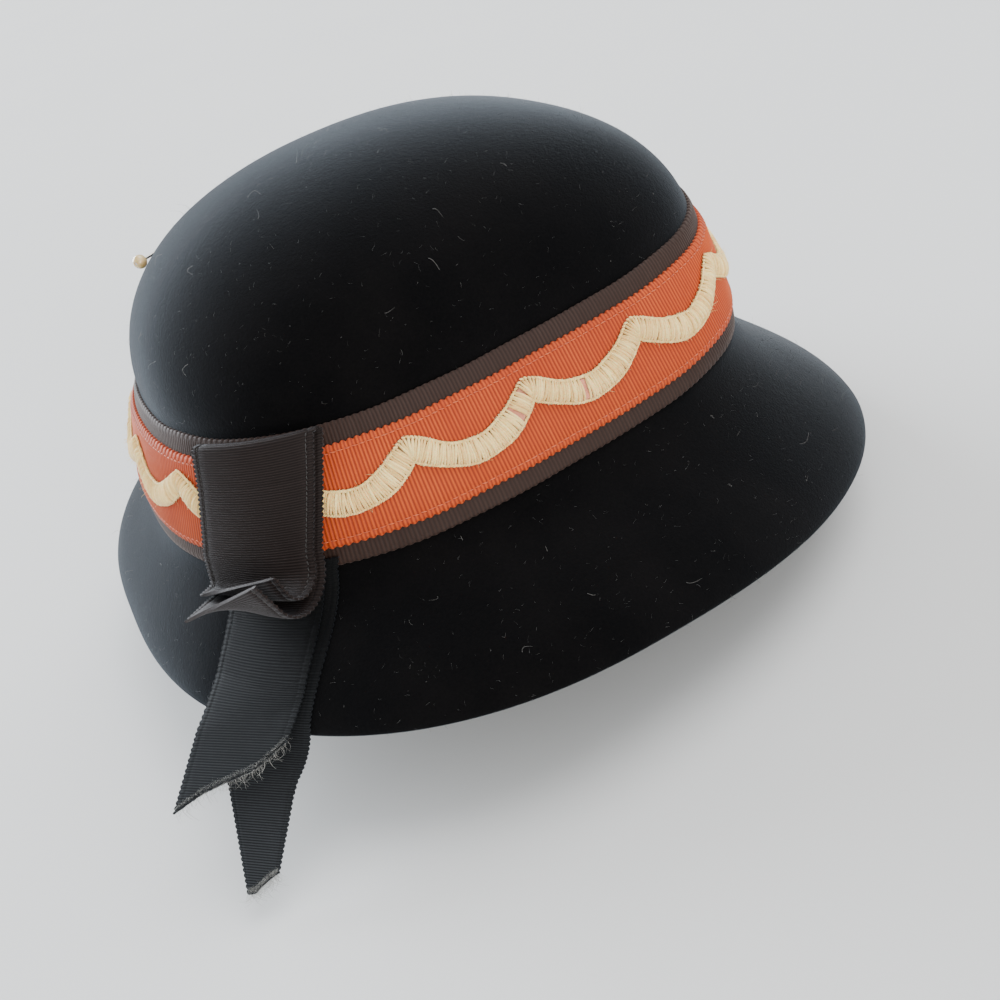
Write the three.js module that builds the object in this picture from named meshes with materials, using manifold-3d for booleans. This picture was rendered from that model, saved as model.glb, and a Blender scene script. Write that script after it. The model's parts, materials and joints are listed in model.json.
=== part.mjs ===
// Cloche hat in blocked felt, with a ribbon band, scallop trim, side bow and pearl-headed pin.
// Millimetres. +Z runs up the crown, the front of the hat faces -Y and its right side faces -X.
// The origin is the middle of the head opening, level with the lower edge of the band.
import * as THREE from "three";
import { ParametricGeometry } from "three/addons/geometries/ParametricGeometry.js";
import { mergeVertices } from "three/addons/utils/BufferGeometryUtils.js";
import Module from "manifold-3d";

// Head opening: a squared oval. A squareness of 2 is a plain oval.
const mouthHalfLength = 94;
const mouthHalfWidth = 86.8;
const mouthSideShift = 3.5;
const mouthSquareness = { front: 3.1, back: 2.5 };

// Crown: wall slopes as rise over run at the side, front and back, and the height of the top.
const crownHeight = 82.6;
const wallSlope = { side: 0.52, front: 0.04, back: 0.39 };
const crownLeanBack = 3.7;
const crownDrawIn = 0.9;
const crownRoundness = { up: 1.94, across: 2.2 };

// Felt and ribbons.
const feltThickness = 2.4;
const clearance = 0.35;
const ribbonThickness = 1;
const brownRibbonWidth = 38;
const orangeRibbonWidth = 26;
const bowRibbonWidth = 34;
const tailRibbonWidth = 30;

// Scallop trim: an even number of swags round the band.
const swagCount = 16;
const swagDepth = 8.4;
const trimWidth = 7;
const trimThickness = 1.9;
const trimMiddle = 0.54;
const trimPhase = 0.04;

// Side bow.
const bowAngle = 140;
const bowLean = 4;
const bowUnderShift = 2;
const bowTopEdge = 36.2;
const curlStart = 7;

// Pearl-headed pin through the back of the crown.
const pearlDiameter = 4.2;
const pinDiameter = 0.9;
const pinStandOff = 7.5;
const pinPointOut = 6;

// How many steps each shape is drawn with.
const columns = 64;
const brimSteps = 7;
const wallSteps = 2;
const domeSteps = 9;
const swagSteps = 8;

// Brim reach and drop below the band, as the mean and the shares of it that vary once, twice,
// three and four times round from the front.
const brimReach = { mean: 37.4, once: 0.163, twice: -0.127, thrice: 0.094, fourTimes: -0.036 };
const brimDrop = { mean: 33.8, once: 0.317, twice: 0.08, thrice: 0.008, fourTimes: 0 };
const brimRounding = 0.6;
const brimHandle = 0.28;
const brimEdgeFall = 58;

const degrees = Math.PI / 180;
const clamp = (value, low, high) => Math.min(high, Math.max(low, value));
const mix = (a, b, share) => a + (b - a) * share;
const up = new THREE.Vector3(0, 0, 1);

const wasm = await Module();
wasm.setup();

// Angles run from the front (0) round the wearer's right side (90) to the back (180). Of the
// opening's squareness, only the given share is kept.
function mouthPoint(angle, share = 1) {
  const forward = Math.cos(angle);
  const sideways = Math.sin(angle);
  const square = mix(mouthSquareness.back, mouthSquareness.front, (1 + forward) / 2);
  const power = mix(2, square, share);
  const reach = (Math.abs(forward / mouthHalfLength) ** power
    + Math.abs(sideways / mouthHalfWidth) ** power) ** (-1 / power);
  const shift = mouthSideShift * (Math.cos(2 * angle) - 1);
  return new THREE.Vector3(-reach * sideways, shift - reach * forward, 0);
}

// Outward direction of the head opening, in plan.
function mouthNormal(angle) {
  const step = 0.001;
  const along = mouthPoint(angle + step).sub(mouthPoint(angle - step));
  const normal = new THREE.Vector3(along.y, -along.x, 0).normalize();
  return normal.dot(mouthPoint(angle)) < 0 ? normal.negate() : normal;
}

// Inward lean of the crown's wall, in radians.
function wallLean(angle) {
  const c = Math.cos(angle);
  const s = Math.sin(angle);
  const end = c > 0 ? wallSlope.front : wallSlope.back;
  return Math.atan(wallSlope.side * s * s + end * c * c);
}

function variesRound(table, angle) {
  return table.mean * (1 + table.once * Math.cos(angle) + table.twice * Math.cos(2 * angle)
    + table.thrice * Math.cos(3 * angle) + table.fourTimes * Math.cos(4 * angle));
}

// Outer face of the felt. Level -1 is the brim's edge, 0 the foot of the crown, 1 the top of the
// band's width and 2 the middle of the crown's top.
function feltFace(angle, level) {
  const lean = wallLean(angle);
  const outward = mouthNormal(angle);
  if (level <= 0) {
    const reach = variesRound(brimReach, angle);
    const drop = variesRound(brimDrop, angle);
    const handle = brimHandle * Math.hypot(reach, drop);
    const fall = brimEdgeFall * degrees;
    const profile = new THREE.CubicBezierCurve(
      new THREE.Vector2(0, 0),
      new THREE.Vector2(handle * Math.sin(lean), -handle * Math.cos(lean)),
      new THREE.Vector2(reach - handle * Math.cos(fall), -drop + handle * Math.sin(fall)),
      new THREE.Vector2(reach, -drop),
    ).getPoint(clamp(-level, 0, 1));
    const brimFoot = mouthPoint(angle, 1 + brimRounding * level);
    return brimFoot.addScaledVector(outward, profile.x).setZ(profile.y);
  }
  const wall = Math.min(level, 1) * brownRibbonWidth;
  const height = wall * Math.cos(lean);
  const wallIn = wall * Math.sin(lean);
  if (level <= 1) return mouthPoint(angle).addScaledVector(outward, -wallIn).setZ(height);
  const turn = clamp(level - 1, 0, 1) * (Math.PI / 2);
  const rise = Math.sin(turn) ** (2 / crownRoundness.up);
  const spread = Math.max(Math.cos(turn), 0) ** (2 / crownRoundness.across);
  const drawIn = crownDrawIn * Math.sin(clamp(rise * 3, 0, 1) * (Math.PI / 2));
  const foot = mouthPoint(angle, 1 - rise);
  foot.addScaledVector(outward, -drawIn - wallIn).multiplyScalar(spread);
  foot.y += crownLeanBack * rise * rise;
  return foot.setZ(mix(height, crownHeight, rise));
}

// A point at a height above the felt's outer face, or below it where the height is negative.
function overFelt(angle, level, height) {
  const step = 0.002;
  const point = feltFace(angle, level);
  if (level > 1.995) return point.addScaledVector(up, height);
  const round = feltFace(angle + step, level).sub(feltFace(angle - step, level));
  const rise = feltFace(angle, level + step).sub(feltFace(angle, level - step));
  return point.addScaledVector(rise.cross(round).normalize(), height);
}

// Draws a parametric surface that closes on itself. Each four-sided patch is split along its
// shorter diagonal, triangles that collapse to a line are dropped and the faces turned outward.
function closedBody(surface, slices, stacks) {
  const drawn = new ParametricGeometry(surface, slices, stacks);
  const points = drawn.getAttribute("position");
  const corner = (k) => new THREE.Vector3().fromBufferAttribute(points, k);
  const patches = [];
  for (let row = 0; row < stacks; row++)
    for (let column = 0; column < slices; column++) {
      const a = row * (slices + 1) + column;
      const [b, c, d] = [a + 1, a + slices + 2, a + slices + 1];
      const split = corner(a).distanceTo(corner(c)) < corner(b).distanceTo(corner(d));
      patches.push(...(split ? [a, b, c, a, c, d] : [a, b, d, b, c, d]));
    }
  drawn.setIndex(patches);
  drawn.deleteAttribute("normal");
  drawn.deleteAttribute("uv");
  const welded = mergeVertices(drawn, 1e-4);
  const kept = [];
  let volume = 0;
  for (let i = 0; i < welded.index.count; i += 3) {
    const face = [0, 1, 2].map((k) => welded.index.getX(i + k));
    if (new Set(face).size < 3) continue;
    kept.push(face);
    const [a, b, c] = face.map((k) => new THREE.Vector3().fromBufferAttribute(
      welded.getAttribute("position"),
      k,
    ));
    volume += a.dot(b.cross(c));
  }
  if (volume < 0) kept.forEach((face) => face.reverse());
  welded.setIndex(kept.flat());
  welded.computeVertexNormals();
  return welded;
}

function solidOf(geometry) {
  const triVerts = new Uint32Array(geometry.index.array);
  const vertProperties = new Float32Array(geometry.getAttribute("position").array);
  return new wasm.Manifold(new wasm.Mesh({ numProp: 3, vertProperties, triVerts }));
}

function geometryOf(solid) {
  const mesh = solid.getMesh();
  const geometry = new THREE.BufferGeometry();
  geometry.setAttribute("position", new THREE.BufferAttribute(mesh.vertProperties, 3));
  geometry.setIndex(new THREE.BufferAttribute(mesh.triVerts, 1));
  geometry.computeVertexNormals();
  return geometry;
}

// A straight round bar between two points, for the pin and its hole.
function barBetween(from, to, radius, tipRadius, sides) {
  const length = from.distanceTo(to);
  const bar = new THREE.CylinderGeometry(tipRadius, radius, length, sides);
  bar.deleteAttribute("normal");
  bar.deleteAttribute("uv");
  const along = to.clone().sub(from).normalize();
  const turn = new THREE.Quaternion().setFromUnitVectors(new THREE.Vector3(0, 1, 0), along);
  bar.applyQuaternion(turn);
  bar.translate(...from.clone().add(to).multiplyScalar(0.5).toArray());
  return mergeVertices(bar, 1e-4);
}

// Felt hood: the profile runs up the outside from the brim's edge, and down the inside again.
const hoodLevels = [];
for (let i = 0; i <= brimSteps; i++) hoodLevels.push(-1 + i / brimSteps);
for (let i = 1; i <= wallSteps; i++) hoodLevels.push(i / wallSteps);
for (let i = 1; i <= domeSteps; i++) hoodLevels.push(1 + (i / domeSteps) ** 0.9);

function hoodGeometry() {
  const last = hoodLevels.length - 1;
  const rows = 2 * hoodLevels.length;
  const surface = (u, v, target) => {
    const row = Math.round(v * rows) % rows;
    const outside = row <= last;
    const level = hoodLevels[outside ? row : rows - 1 - row];
    const angle = (Math.round(u * columns) % columns) * (2 * Math.PI / columns);
    target.copy(overFelt(angle, level, outside ? 0 : -feltThickness));
  };
  return closedBody(surface, columns, rows);
}

// Pin line: in and out again through the back of the crown.
const pinIn = overFelt(206 * degrees, 1.455, 0);
const pinOut = overFelt(245 * degrees, 1.4, 0);
const pinWay = pinOut.clone().sub(pinIn).normalize();
const pearlCentre = pinIn.clone().addScaledVector(pinWay, -pinStandOff);
const pinPoint = pinOut.clone().addScaledVector(pinWay, pinPointOut);

function feltHood() {
  const hole = barBetween(
    pinIn.clone().addScaledVector(pinWay, -5),
    pinOut.clone().addScaledVector(pinWay, 5),
    pinDiameter / 2 + clearance,
    pinDiameter / 2 + clearance,
    8,
  );
  return geometryOf(solidOf(hoodGeometry()).subtract(solidOf(hole)));
}

// A flat ribbon right round the crown, between two distances up the wall.
function roundBand(lower, upper, underside) {
  const heights = [lower, brownRibbonWidth / 2, upper];
  const ring = heights.map((wall) => [wall, underside + ribbonThickness])
    .concat(heights.reverse().map((wall) => [wall, underside]));
  const surface = (u, v, target) => {
    const angle = (Math.round(u * columns) % columns) * (2 * Math.PI / columns);
    const [wall, height] = ring[Math.round(v * ring.length) % ring.length];
    target.copy(overFelt(angle, wall / brownRibbonWidth, height));
  };
  return closedBody(surface, columns, ring.length);
}

const brownUnder = clearance;
const orangeUnder = brownUnder + ribbonThickness + clearance + 0.15;
const trimUnder = orangeUnder + ribbonThickness + clearance + 0.15;
const brownInset = 0.8;
const orangeLower = (brownRibbonWidth - orangeRibbonWidth) / 2;

// Angle at each share of the way round the band, so that the swags come out equal.
const roundSamples = 720;
const roundLengths = [0];
for (let i = 1; i <= roundSamples; i++) {
  const here = feltFace((i / roundSamples) * 2 * Math.PI, 0.5);
  const before = feltFace(((i - 1) / roundSamples) * 2 * Math.PI, 0.5);
  roundLengths.push(roundLengths[i - 1] + here.distanceTo(before));
}
function angleAtShare(share) {
  const wanted = (share - Math.floor(share)) * roundLengths[roundSamples];
  let i = 1;
  while (roundLengths[i] < wanted) i++;
  const part = (wanted - roundLengths[i - 1]) / (roundLengths[i] - roundLengths[i - 1]);
  return ((i - 1 + part) / roundSamples) * 2 * Math.PI;
}

// Cross-section of the trim: shares of its width, and of its thickness.
const trimSection = [
  { across: 0, up: 0 },
  { across: 1, up: 0 },
  { across: 1, up: 0.42 },
  { across: 0.74, up: 1 },
  { across: 0.26, up: 1 },
  { across: 0, up: 0.42 },
];

function scallopTrim() {
  const stations = swagCount * swagSteps;
  const swagLength = roundLengths[roundSamples] / swagCount;
  const middleAt = (part) => {
    const fromCusp = Math.abs(2 * (part - Math.floor(part)) - 1);
    return trimMiddle * brownRibbonWidth + swagDepth * (fromCusp ** 1.9 - 0.5);
  };
  const surface = (u, v, target) => {
    const station = Math.round(u * stations) % stations;
    const part = station / swagSteps;
    const slope = (middleAt(part + 0.06) - middleAt(part - 0.06)) / (0.12 * swagLength);
    const halfWidth = (trimWidth / 2) * Math.hypot(1, slope * 0.8);
    const corner = trimSection[Math.round(v * trimSection.length) % trimSection.length];
    const wall = middleAt(part) + mix(-halfWidth, halfWidth, corner.across);
    const angle = angleAtShare((part + trimPhase) / swagCount);
    target.copy(overFelt(angle, wall / brownRibbonWidth, trimUnder + corner.up * trimThickness));
  };
  return closedBody(surface, stations, trimSection.length);
}

// A sheet of ribbon: its middle surface is given by the distance along and the side from -1 to 1.
function ribbonSheet(middle, stations, sides, thickness) {
  const rim = 2 * (sides + 1);
  const surface = (u, v, target) => {
    const row = clamp(Math.round(u * (stations.length + 1)) - 1, -1, stations.length);
    const along = stations[clamp(row, 0, stations.length - 1)];
    const step = Math.round(v * rim) % rim;
    const top = step <= sides;
    const side = mix(-1, 1, (top ? step : rim - 1 - step) / sides);
    target.copy(middle(along, side));
    if (row < 0 || row === stations.length) return;
    const small = 0.02;
    const length = middle(along + small, side).sub(middle(along - small, side));
    const width = middle(along, Math.min(side + small, 1)).sub(middle(along, Math.max(side - small, -1)));
    const normal = length.cross(width).normalize();
    target.addScaledVector(normal, (top ? 0.5 : -0.5) * thickness);
  };
  return closedBody(surface, stations.length + 1, rim);
}

// The bow's own directions at the foot of the crown: outward, forward along the hat, and up.
const bowCentre = feltFace(bowAngle * degrees, 0);
const bowOut = mouthNormal(bowAngle * degrees);
const bowForward = new THREE.Vector3().crossVectors(up, bowOut);
const innerHeight = trimUnder + trimThickness + clearance + ribbonThickness / 2 + 0.15;
const layerStep = ribbonThickness + clearance;

// Angle at a distance to the front of the bow's middle line, which leans forward as it rises.
function angleAcross(distance, level) {
  const middle = (bowAngle - bowLean * (clamp(level, 0, 1) - 0.5)) * degrees;
  const step = 0.01;
  const speed = overFelt(middle + step, level, innerHeight)
    .distanceTo(overFelt(middle - step, level, innerHeight)) / (2 * step);
  return middle - distance / speed;
}

// Where a line leaves the wall or the brim, as a point and a heading above the level.
function leavingLine(across, wall, height) {
  const angle = angleAcross(across, wall / brownRibbonWidth);
  const here = overFelt(angle, wall / brownRibbonWidth, height);
  const below = overFelt(angle, (wall - 0.4) / brownRibbonWidth, height);
  const way = below.sub(here);
  return { here, heading: Math.atan2(way.z, way.dot(bowOut)) };
}

// Straight, then a round turn, then straight again, in the plane of bowOut and up.
function curlPoint(start, straight, radius, turn, distance) {
  const { here, heading } = start;
  const first = Math.min(distance, straight);
  const round = clamp(distance - straight, 0, radius * turn);
  const after = Math.max(distance - straight - radius * turn, 0);
  const end = heading + round / radius;
  const out = first * Math.cos(heading) + radius * (Math.sin(end) - Math.sin(heading))
    + after * Math.cos(end);
  const rise = first * Math.sin(heading) - radius * (Math.cos(end) - Math.cos(heading))
    + after * Math.sin(end);
  return here.clone().addScaledVector(bowOut, out).addScaledVector(up, rise);
}

// Curls at the ends of the folded bow. Each tapers from its front edge to its back edge, and
// slides toward the back as it rolls. The cut end itself is straight.
const outerCurl = {
  straight: [3.5, 7.1],
  radius: [6.6, 1.75],
  turn: [150, 83],
  length: [26.2, 14.5],
  slide: [2.2, -0.7],
};
const innerCurl = {
  straight: [3.4, 7.3],
  radius: [10.6, 2.8],
  turn: [143, 82],
  length: [40, 26.6],
  slide: [3.8, -0.9],
};

// One length of ribbon folded in two over the top of the band, with both ends rolled outward.
function bowFold() {
  const wallRun = bowTopEdge - curlStart;
  const foldRadius = (wall) => layerStep / 2 + 0.35 * clamp((wall - 26) / 8, 0, 1);
  const middle = (distance, side) => {
    const back = (1 - side) / 2;
    const under = clamp(2 - distance, 0, 1) * bowUnderShift;
    const across = (side * bowRibbonWidth) / 2 + under;
    const curl = (table, past) => {
      const height = table === outerCurl ? innerHeight + layerStep : innerHeight;
      const rolled = (share, along) => {
        const pick = (pair) => mix(pair[0], pair[1], share);
        return curlPoint(
          leavingLine((0.5 - share) * bowRibbonWidth + under, curlStart, height),
          pick(table.straight),
          pick(table.radius),
          pick(table.turn) * degrees,
          along * pick(table.length),
        ).addScaledVector(bowForward, -pick(table.slide) * along ** 1.5);
      };
      const straightEnd = rolled(0, 1).lerp(rolled(1, 1), back);
      return rolled(back, past).addScaledVector(straightEnd.sub(rolled(back, 1)), past ** 3);
    };
    if (distance < 0) return curl(innerCurl, -distance);
    if (distance > 3) return curl(outerCurl, distance - 3);
    const onWall = (wall, height) => {
      const level = wall / brownRibbonWidth;
      return overFelt(angleAcross(across, level), level, height);
    };
    if (distance < 1) return onWall(curlStart + distance * wallRun, innerHeight);
    if (distance > 2) {
      const wall = bowTopEdge - (distance - 2) * wallRun;
      return onWall(wall, innerHeight + 2 * foldRadius(wall));
    }
    const turn = (distance - 1) * Math.PI;
    const radius = foldRadius(bowTopEdge);
    return onWall(
      bowTopEdge + radius * Math.sin(turn),
      innerHeight + radius * (1 - Math.cos(turn)),
    );
  };
  const stations = [];
  for (let i = 0; i <= 13; i++) stations.push(-1 + i / 13);
  for (const share of [0.25, 0.5, 0.75, 1, 1.2, 1.4, 1.6, 1.8, 2, 2.25, 2.5, 2.75])
    stations.push(share);
  for (let i = 0; i <= 11; i++) stations.push(3 + i / 11);
  return ribbonSheet(middle, stations, 5, ribbonThickness);
}

// Tails: down the brim under the bow, then straight on past the point where they leave it. Past
// it, back and front give the two edges at the start, half way and the end, and ends give the
// length at even steps from the back to the front edge.
const tails = {
  upper: {
    top: 3.6,
    topHeight: 4.2,
    brimHeight: 3.15,
    leave: -0.7,
    heading: -28,
    shift: [3.5, 2.1],
    back: [-12.6, -13.9, -15.3],
    front: [16.8, 15.8, 14],
    ends: [34.5, 29.3, 25.8, 22.6, 15.5],
  },
  lower: {
    top: 3.2,
    topHeight: 2.4,
    brimHeight: 1.3,
    leave: -0.93,
    heading: -46,
    shift: [7.5, 3.5],
    back: [-11.5, -6, -0.8],
    front: [18.5, 12.3, 8.1],
    ends: [44.6, 44.2, 42, 40.2, 38.7],
  },
};

// Value at a share of the way through an evenly spaced table.
function alongTable(table, share) {
  const place = clamp(share, 0, 1) * (table.length - 1);
  const before = Math.min(Math.floor(place), table.length - 2);
  return mix(table[before], table[before + 1], place - before);
}

function bowTail(tail) {
  const half = tailRibbonWidth / 2;
  const acrossAt = (side, share) => side * half + mix(tail.shift[0], tail.shift[1], share);
  const brimPoint = (across, level, height) =>
    overFelt(angleAcross(across, level), level, height);
  const onBrim = (side, share) => {
    const level = mix(tail.top / brownRibbonWidth, tail.leave, share);
    const eased = clamp((tail.top / brownRibbonWidth - level) / 0.4, 0, 1);
    const height = mix(tail.topHeight, tail.brimHeight, eased);
    return brimPoint(acrossAt(side, share), level, height);
  };
  const heading = tail.heading * degrees;
  const onward = bowOut.clone().multiplyScalar(Math.cos(heading))
    .addScaledVector(up, Math.sin(heading));
  const leaving = brimPoint(0, tail.leave, tail.brimHeight);
  const middle = (distance, side) => {
    if (distance <= 1) return onBrim(side, Math.max(distance, 0));
    const run = distance - 1;
    const share = (side + 1) / 2;
    const across = mix(alongTable(tail.back, run), alongTable(tail.front, run), share);
    const curved = onBrim(side, 1).sub(leaving);
    const flat = bowForward.clone().multiplyScalar(across);
    return leaving.clone().add(curved.lerp(flat, clamp(run * 2.5, 0, 1)))
      .addScaledVector(onward, run * alongTable(tail.ends, share));
  };
  const stations = [0, 0.16, 0.32, 0.48, 0.64, 0.82, 1];
  for (let i = 1; i <= 7; i++) stations.push(1 + i / 7);
  return ribbonSheet(middle, stations, 4, ribbonThickness);
}

// Pearl bead, drilled through for the shank.
function pearl() {
  const radius = pearlDiameter / 2;
  const bore = pinDiameter / 2 + clearance;
  const open = Math.asin(bore / radius);
  const profile = [];
  for (let i = 0; i <= 8; i++) {
    const turn = mix(open, Math.PI - open, i / 8);
    profile.push(new THREE.Vector2(radius * Math.sin(turn), radius * Math.cos(turn)));
  }
  profile.push(profile[0].clone());
  const bead = new THREE.LatheGeometry(profile.reverse(), 14);
  bead.applyQuaternion(new THREE.Quaternion().setFromUnitVectors(new THREE.Vector3(0, 1, 0), pinWay));
  bead.translate(...pearlCentre.toArray());
  return bead;
}

function pinShank() {
  const taper = pinPoint.clone().addScaledVector(pinWay, -4);
  const start = pearlCentre.clone().addScaledVector(pinWay, -pearlDiameter / 2 + 0.3);
  const shank = solidOf(barBetween(start, taper, pinDiameter / 2, pinDiameter / 2, 8));
  const point = solidOf(barBetween(taper, pinPoint, pinDiameter / 2, 0.08, 8));
  return geometryOf(shank.add(point));
}

const feltBlack = new THREE.MeshStandardMaterial({ color: "#0e0d0d", roughness: 0.95 });
const brownRibbon = new THREE.MeshStandardMaterial({ color: "#2a211d", roughness: 0.7 });
const orangeRibbon = new THREE.MeshStandardMaterial({ color: "#b8482a", roughness: 0.65 });
const creamYarn = new THREE.MeshStandardMaterial({ color: "#eadfbe", roughness: 0.8 });
const blackRibbon = new THREE.MeshStandardMaterial({ color: "#1d1817", roughness: 0.65 });
const pearlCream = new THREE.MeshStandardMaterial({ color: "#e2cf9c", roughness: 0.25 });
const pinSteel = new THREE.MeshStandardMaterial({ color: "#b9b6ad", roughness: 0.3, metalness: 1 });

const hat = new THREE.Group();

function addPiece(name, geometry, material) {
  const piece = new THREE.Mesh(geometry, material);
  piece.name = name;
  hat.add(piece);
}

addPiece("felt_hood", feltHood(), feltBlack);
addPiece("band_ribbon", roundBand(brownInset, brownRibbonWidth - brownInset, brownUnder), brownRibbon);
addPiece(
  "orange_ribbon",
  roundBand(orangeLower, orangeLower + orangeRibbonWidth, orangeUnder),
  orangeRibbon,
);
addPiece("scallop_trim", scallopTrim(), creamYarn);
addPiece("bow_fold", bowFold(), blackRibbon);
addPiece("bow_tail_upper", bowTail(tails.upper), blackRibbon);
addPiece("bow_tail_lower", bowTail(tails.lower), blackRibbon);
addPiece("pin_pearl", pearl(), pearlCream);
addPiece("pin_shank", pinShank(), pinSteel);

export default hat;
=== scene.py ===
import json
import math

import bmesh
import bpy
import numpy as np
from mathutils import Matrix, Vector

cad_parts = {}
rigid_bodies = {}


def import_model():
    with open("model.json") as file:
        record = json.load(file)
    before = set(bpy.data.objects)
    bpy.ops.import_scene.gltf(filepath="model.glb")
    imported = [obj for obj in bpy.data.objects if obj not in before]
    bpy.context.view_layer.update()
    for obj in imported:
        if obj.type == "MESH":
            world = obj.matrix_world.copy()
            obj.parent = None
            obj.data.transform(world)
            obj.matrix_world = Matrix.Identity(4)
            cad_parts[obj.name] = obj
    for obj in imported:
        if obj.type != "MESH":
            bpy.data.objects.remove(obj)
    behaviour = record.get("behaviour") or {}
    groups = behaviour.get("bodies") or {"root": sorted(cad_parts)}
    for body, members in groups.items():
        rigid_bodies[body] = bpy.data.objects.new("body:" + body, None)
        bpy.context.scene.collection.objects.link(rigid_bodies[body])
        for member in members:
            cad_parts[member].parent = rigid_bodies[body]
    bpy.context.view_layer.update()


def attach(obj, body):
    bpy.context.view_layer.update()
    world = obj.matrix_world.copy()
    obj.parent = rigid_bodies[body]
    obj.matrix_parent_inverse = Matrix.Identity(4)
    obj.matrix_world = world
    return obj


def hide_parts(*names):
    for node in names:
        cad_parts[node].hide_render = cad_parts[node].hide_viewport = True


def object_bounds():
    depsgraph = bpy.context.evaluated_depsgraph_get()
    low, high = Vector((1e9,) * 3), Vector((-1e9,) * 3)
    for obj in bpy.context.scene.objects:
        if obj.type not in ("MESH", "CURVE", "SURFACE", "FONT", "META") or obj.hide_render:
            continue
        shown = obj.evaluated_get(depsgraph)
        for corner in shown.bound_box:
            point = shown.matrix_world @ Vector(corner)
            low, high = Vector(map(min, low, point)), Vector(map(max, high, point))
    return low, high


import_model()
mm = 0.001

# The felt's shape, in millimetres: the same named sizes as the solid hood has.
hat = {
    "halfLength": 94.0,
    "halfWidth": 86.8,
    "sideShift": 3.5,
    "squareFront": 3.1,
    "squareBack": 2.5,
    "crownHeight": 82.6,
    "slopeSide": 0.52,
    "slopeFront": 0.04,
    "slopeBack": 0.39,
    "leanBack": 3.7,
    "drawIn": 0.9,
    "roundUp": 1.94,
    "roundAcross": 2.2,
    "wall": 38.0,
    "felt": 2.4,
    "brimRounding": 0.6,
    "brimHandle": 0.28,
    "brimFall": math.radians(58),
    "reach": (37.4, 0.163, -0.127, 0.094, -0.036),  # mean, then shares that vary 1 to 4 times round
    "drop": (33.8, 0.317, 0.08, 0.008, 0.0),
}


def unit(v):
    return v / np.maximum(np.linalg.norm(v, axis=-1, keepdims=True), 1e-12)


def mix(a, b, share):
    return a + (b - a) * share


# Angles run from the front (0) round the wearer's right side (90 degrees) to the back (180).
def mouthPoint(angle, share=1.0):
    ahead, sideways = np.cos(angle), np.sin(angle)
    square = mix(hat["squareBack"], hat["squareFront"], (1 + ahead) / 2)
    power = mix(2, square, share)
    reach = (
        np.abs(ahead / hat["halfLength"]) ** power + np.abs(sideways / hat["halfWidth"]) ** power
    ) ** (-1 / power)
    shift = hat["sideShift"] * (np.cos(2 * angle) - 1)
    return np.stack([-reach * sideways, shift - reach * ahead, 0 * reach], -1)


def mouthNormal(angle):
    along = mouthPoint(angle + 0.001) - mouthPoint(angle - 0.001)
    return unit(np.stack([-along[..., 1], along[..., 0], 0 * along[..., 0]], -1))


def wallLean(angle):
    c, s = np.cos(angle), np.sin(angle)
    end = np.where(c > 0, hat["slopeFront"], hat["slopeBack"])
    return np.arctan(hat["slopeSide"] * s * s + end * c * c)


def variesRound(table, angle):
    return table[0] * (1 + sum(table[k] * np.cos(k * angle) for k in range(1, 5)))


# Outer face of the felt: level -1 is the brim's edge, 0 the crown's foot, 1 the top of the band
# and 2 the middle of the crown's top.
def feltFace(angle, level):
    angle, level = np.broadcast_arrays(np.asarray(angle, float), np.asarray(level, float))
    lean, outward = wallLean(angle), mouthNormal(angle)
    reach, drop = variesRound(hat["reach"], angle), variesRound(hat["drop"], angle)
    handle = hat["brimHandle"] * np.hypot(reach, drop)
    t = np.clip(-level, 0, 1)
    b, c, d = 3 * (1 - t) ** 2 * t, 3 * (1 - t) * t * t, t**3
    out = b * handle * np.sin(lean) + c * (reach - handle * math.cos(hat["brimFall"])) + d * reach
    low = -b * handle * np.cos(lean) - c * (drop - handle * math.sin(hat["brimFall"])) - d * drop
    brim = mouthPoint(angle, 1 - hat["brimRounding"] * t) + outward * out[..., None]
    brim[..., 2] = low

    wall = np.clip(level, 0, 1) * hat["wall"]
    wallIn, height = wall * np.sin(lean), wall * np.cos(lean)
    side = mouthPoint(angle) - outward * wallIn[..., None]
    side[..., 2] = height

    turn = np.clip(level - 1, 0, 1) * math.pi / 2
    rise = np.sin(turn) ** (2 / hat["roundUp"])
    spread = np.maximum(np.cos(turn), 0) ** (2 / hat["roundAcross"])
    drawIn = hat["drawIn"] * np.sin(np.clip(rise * 3, 0, 1) * math.pi / 2)
    dome = mouthPoint(angle, 1 - rise) - outward * (drawIn + wallIn)[..., None]
    dome = dome * spread[..., None]
    dome[..., 1] += hat["leanBack"] * rise**2
    dome[..., 2] = mix(height, hat["crownHeight"], rise)
    found = np.where((level <= 1)[..., None], side, dome)
    return np.where((level <= 0)[..., None], brim, found)


def feltNormal(angle, level):
    angle, level = np.broadcast_arrays(np.asarray(angle, float), np.asarray(level, float))
    step = 0.002
    turned = feltFace(angle + step, level) - feltFace(angle - step, level)
    risen = feltFace(angle, level + step) - feltFace(angle, level - step)
    normal = unit(np.cross(risen, turned))
    return np.where((level > 1.995)[..., None], np.array([0.0, 0.0, 1.0]), normal)


def overFelt(angle, level, height):
    return feltFace(angle, level) + feltNormal(angle, level) * np.asarray(height, float)[..., None]


roundAngles = np.linspace(0, 2 * math.pi, 1441)


# Angle at each share of the way round, counted along the felt at one level.
def angleAtShare(share, level=0.5):
    line = feltFace(roundAngles, level)
    lengths = np.concatenate([[0], np.cumsum(np.linalg.norm(np.diff(line, axis=0), axis=1))])
    return np.interp(np.mod(share, 1), lengths / lengths[-1], roundAngles), lengths[-1]


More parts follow.
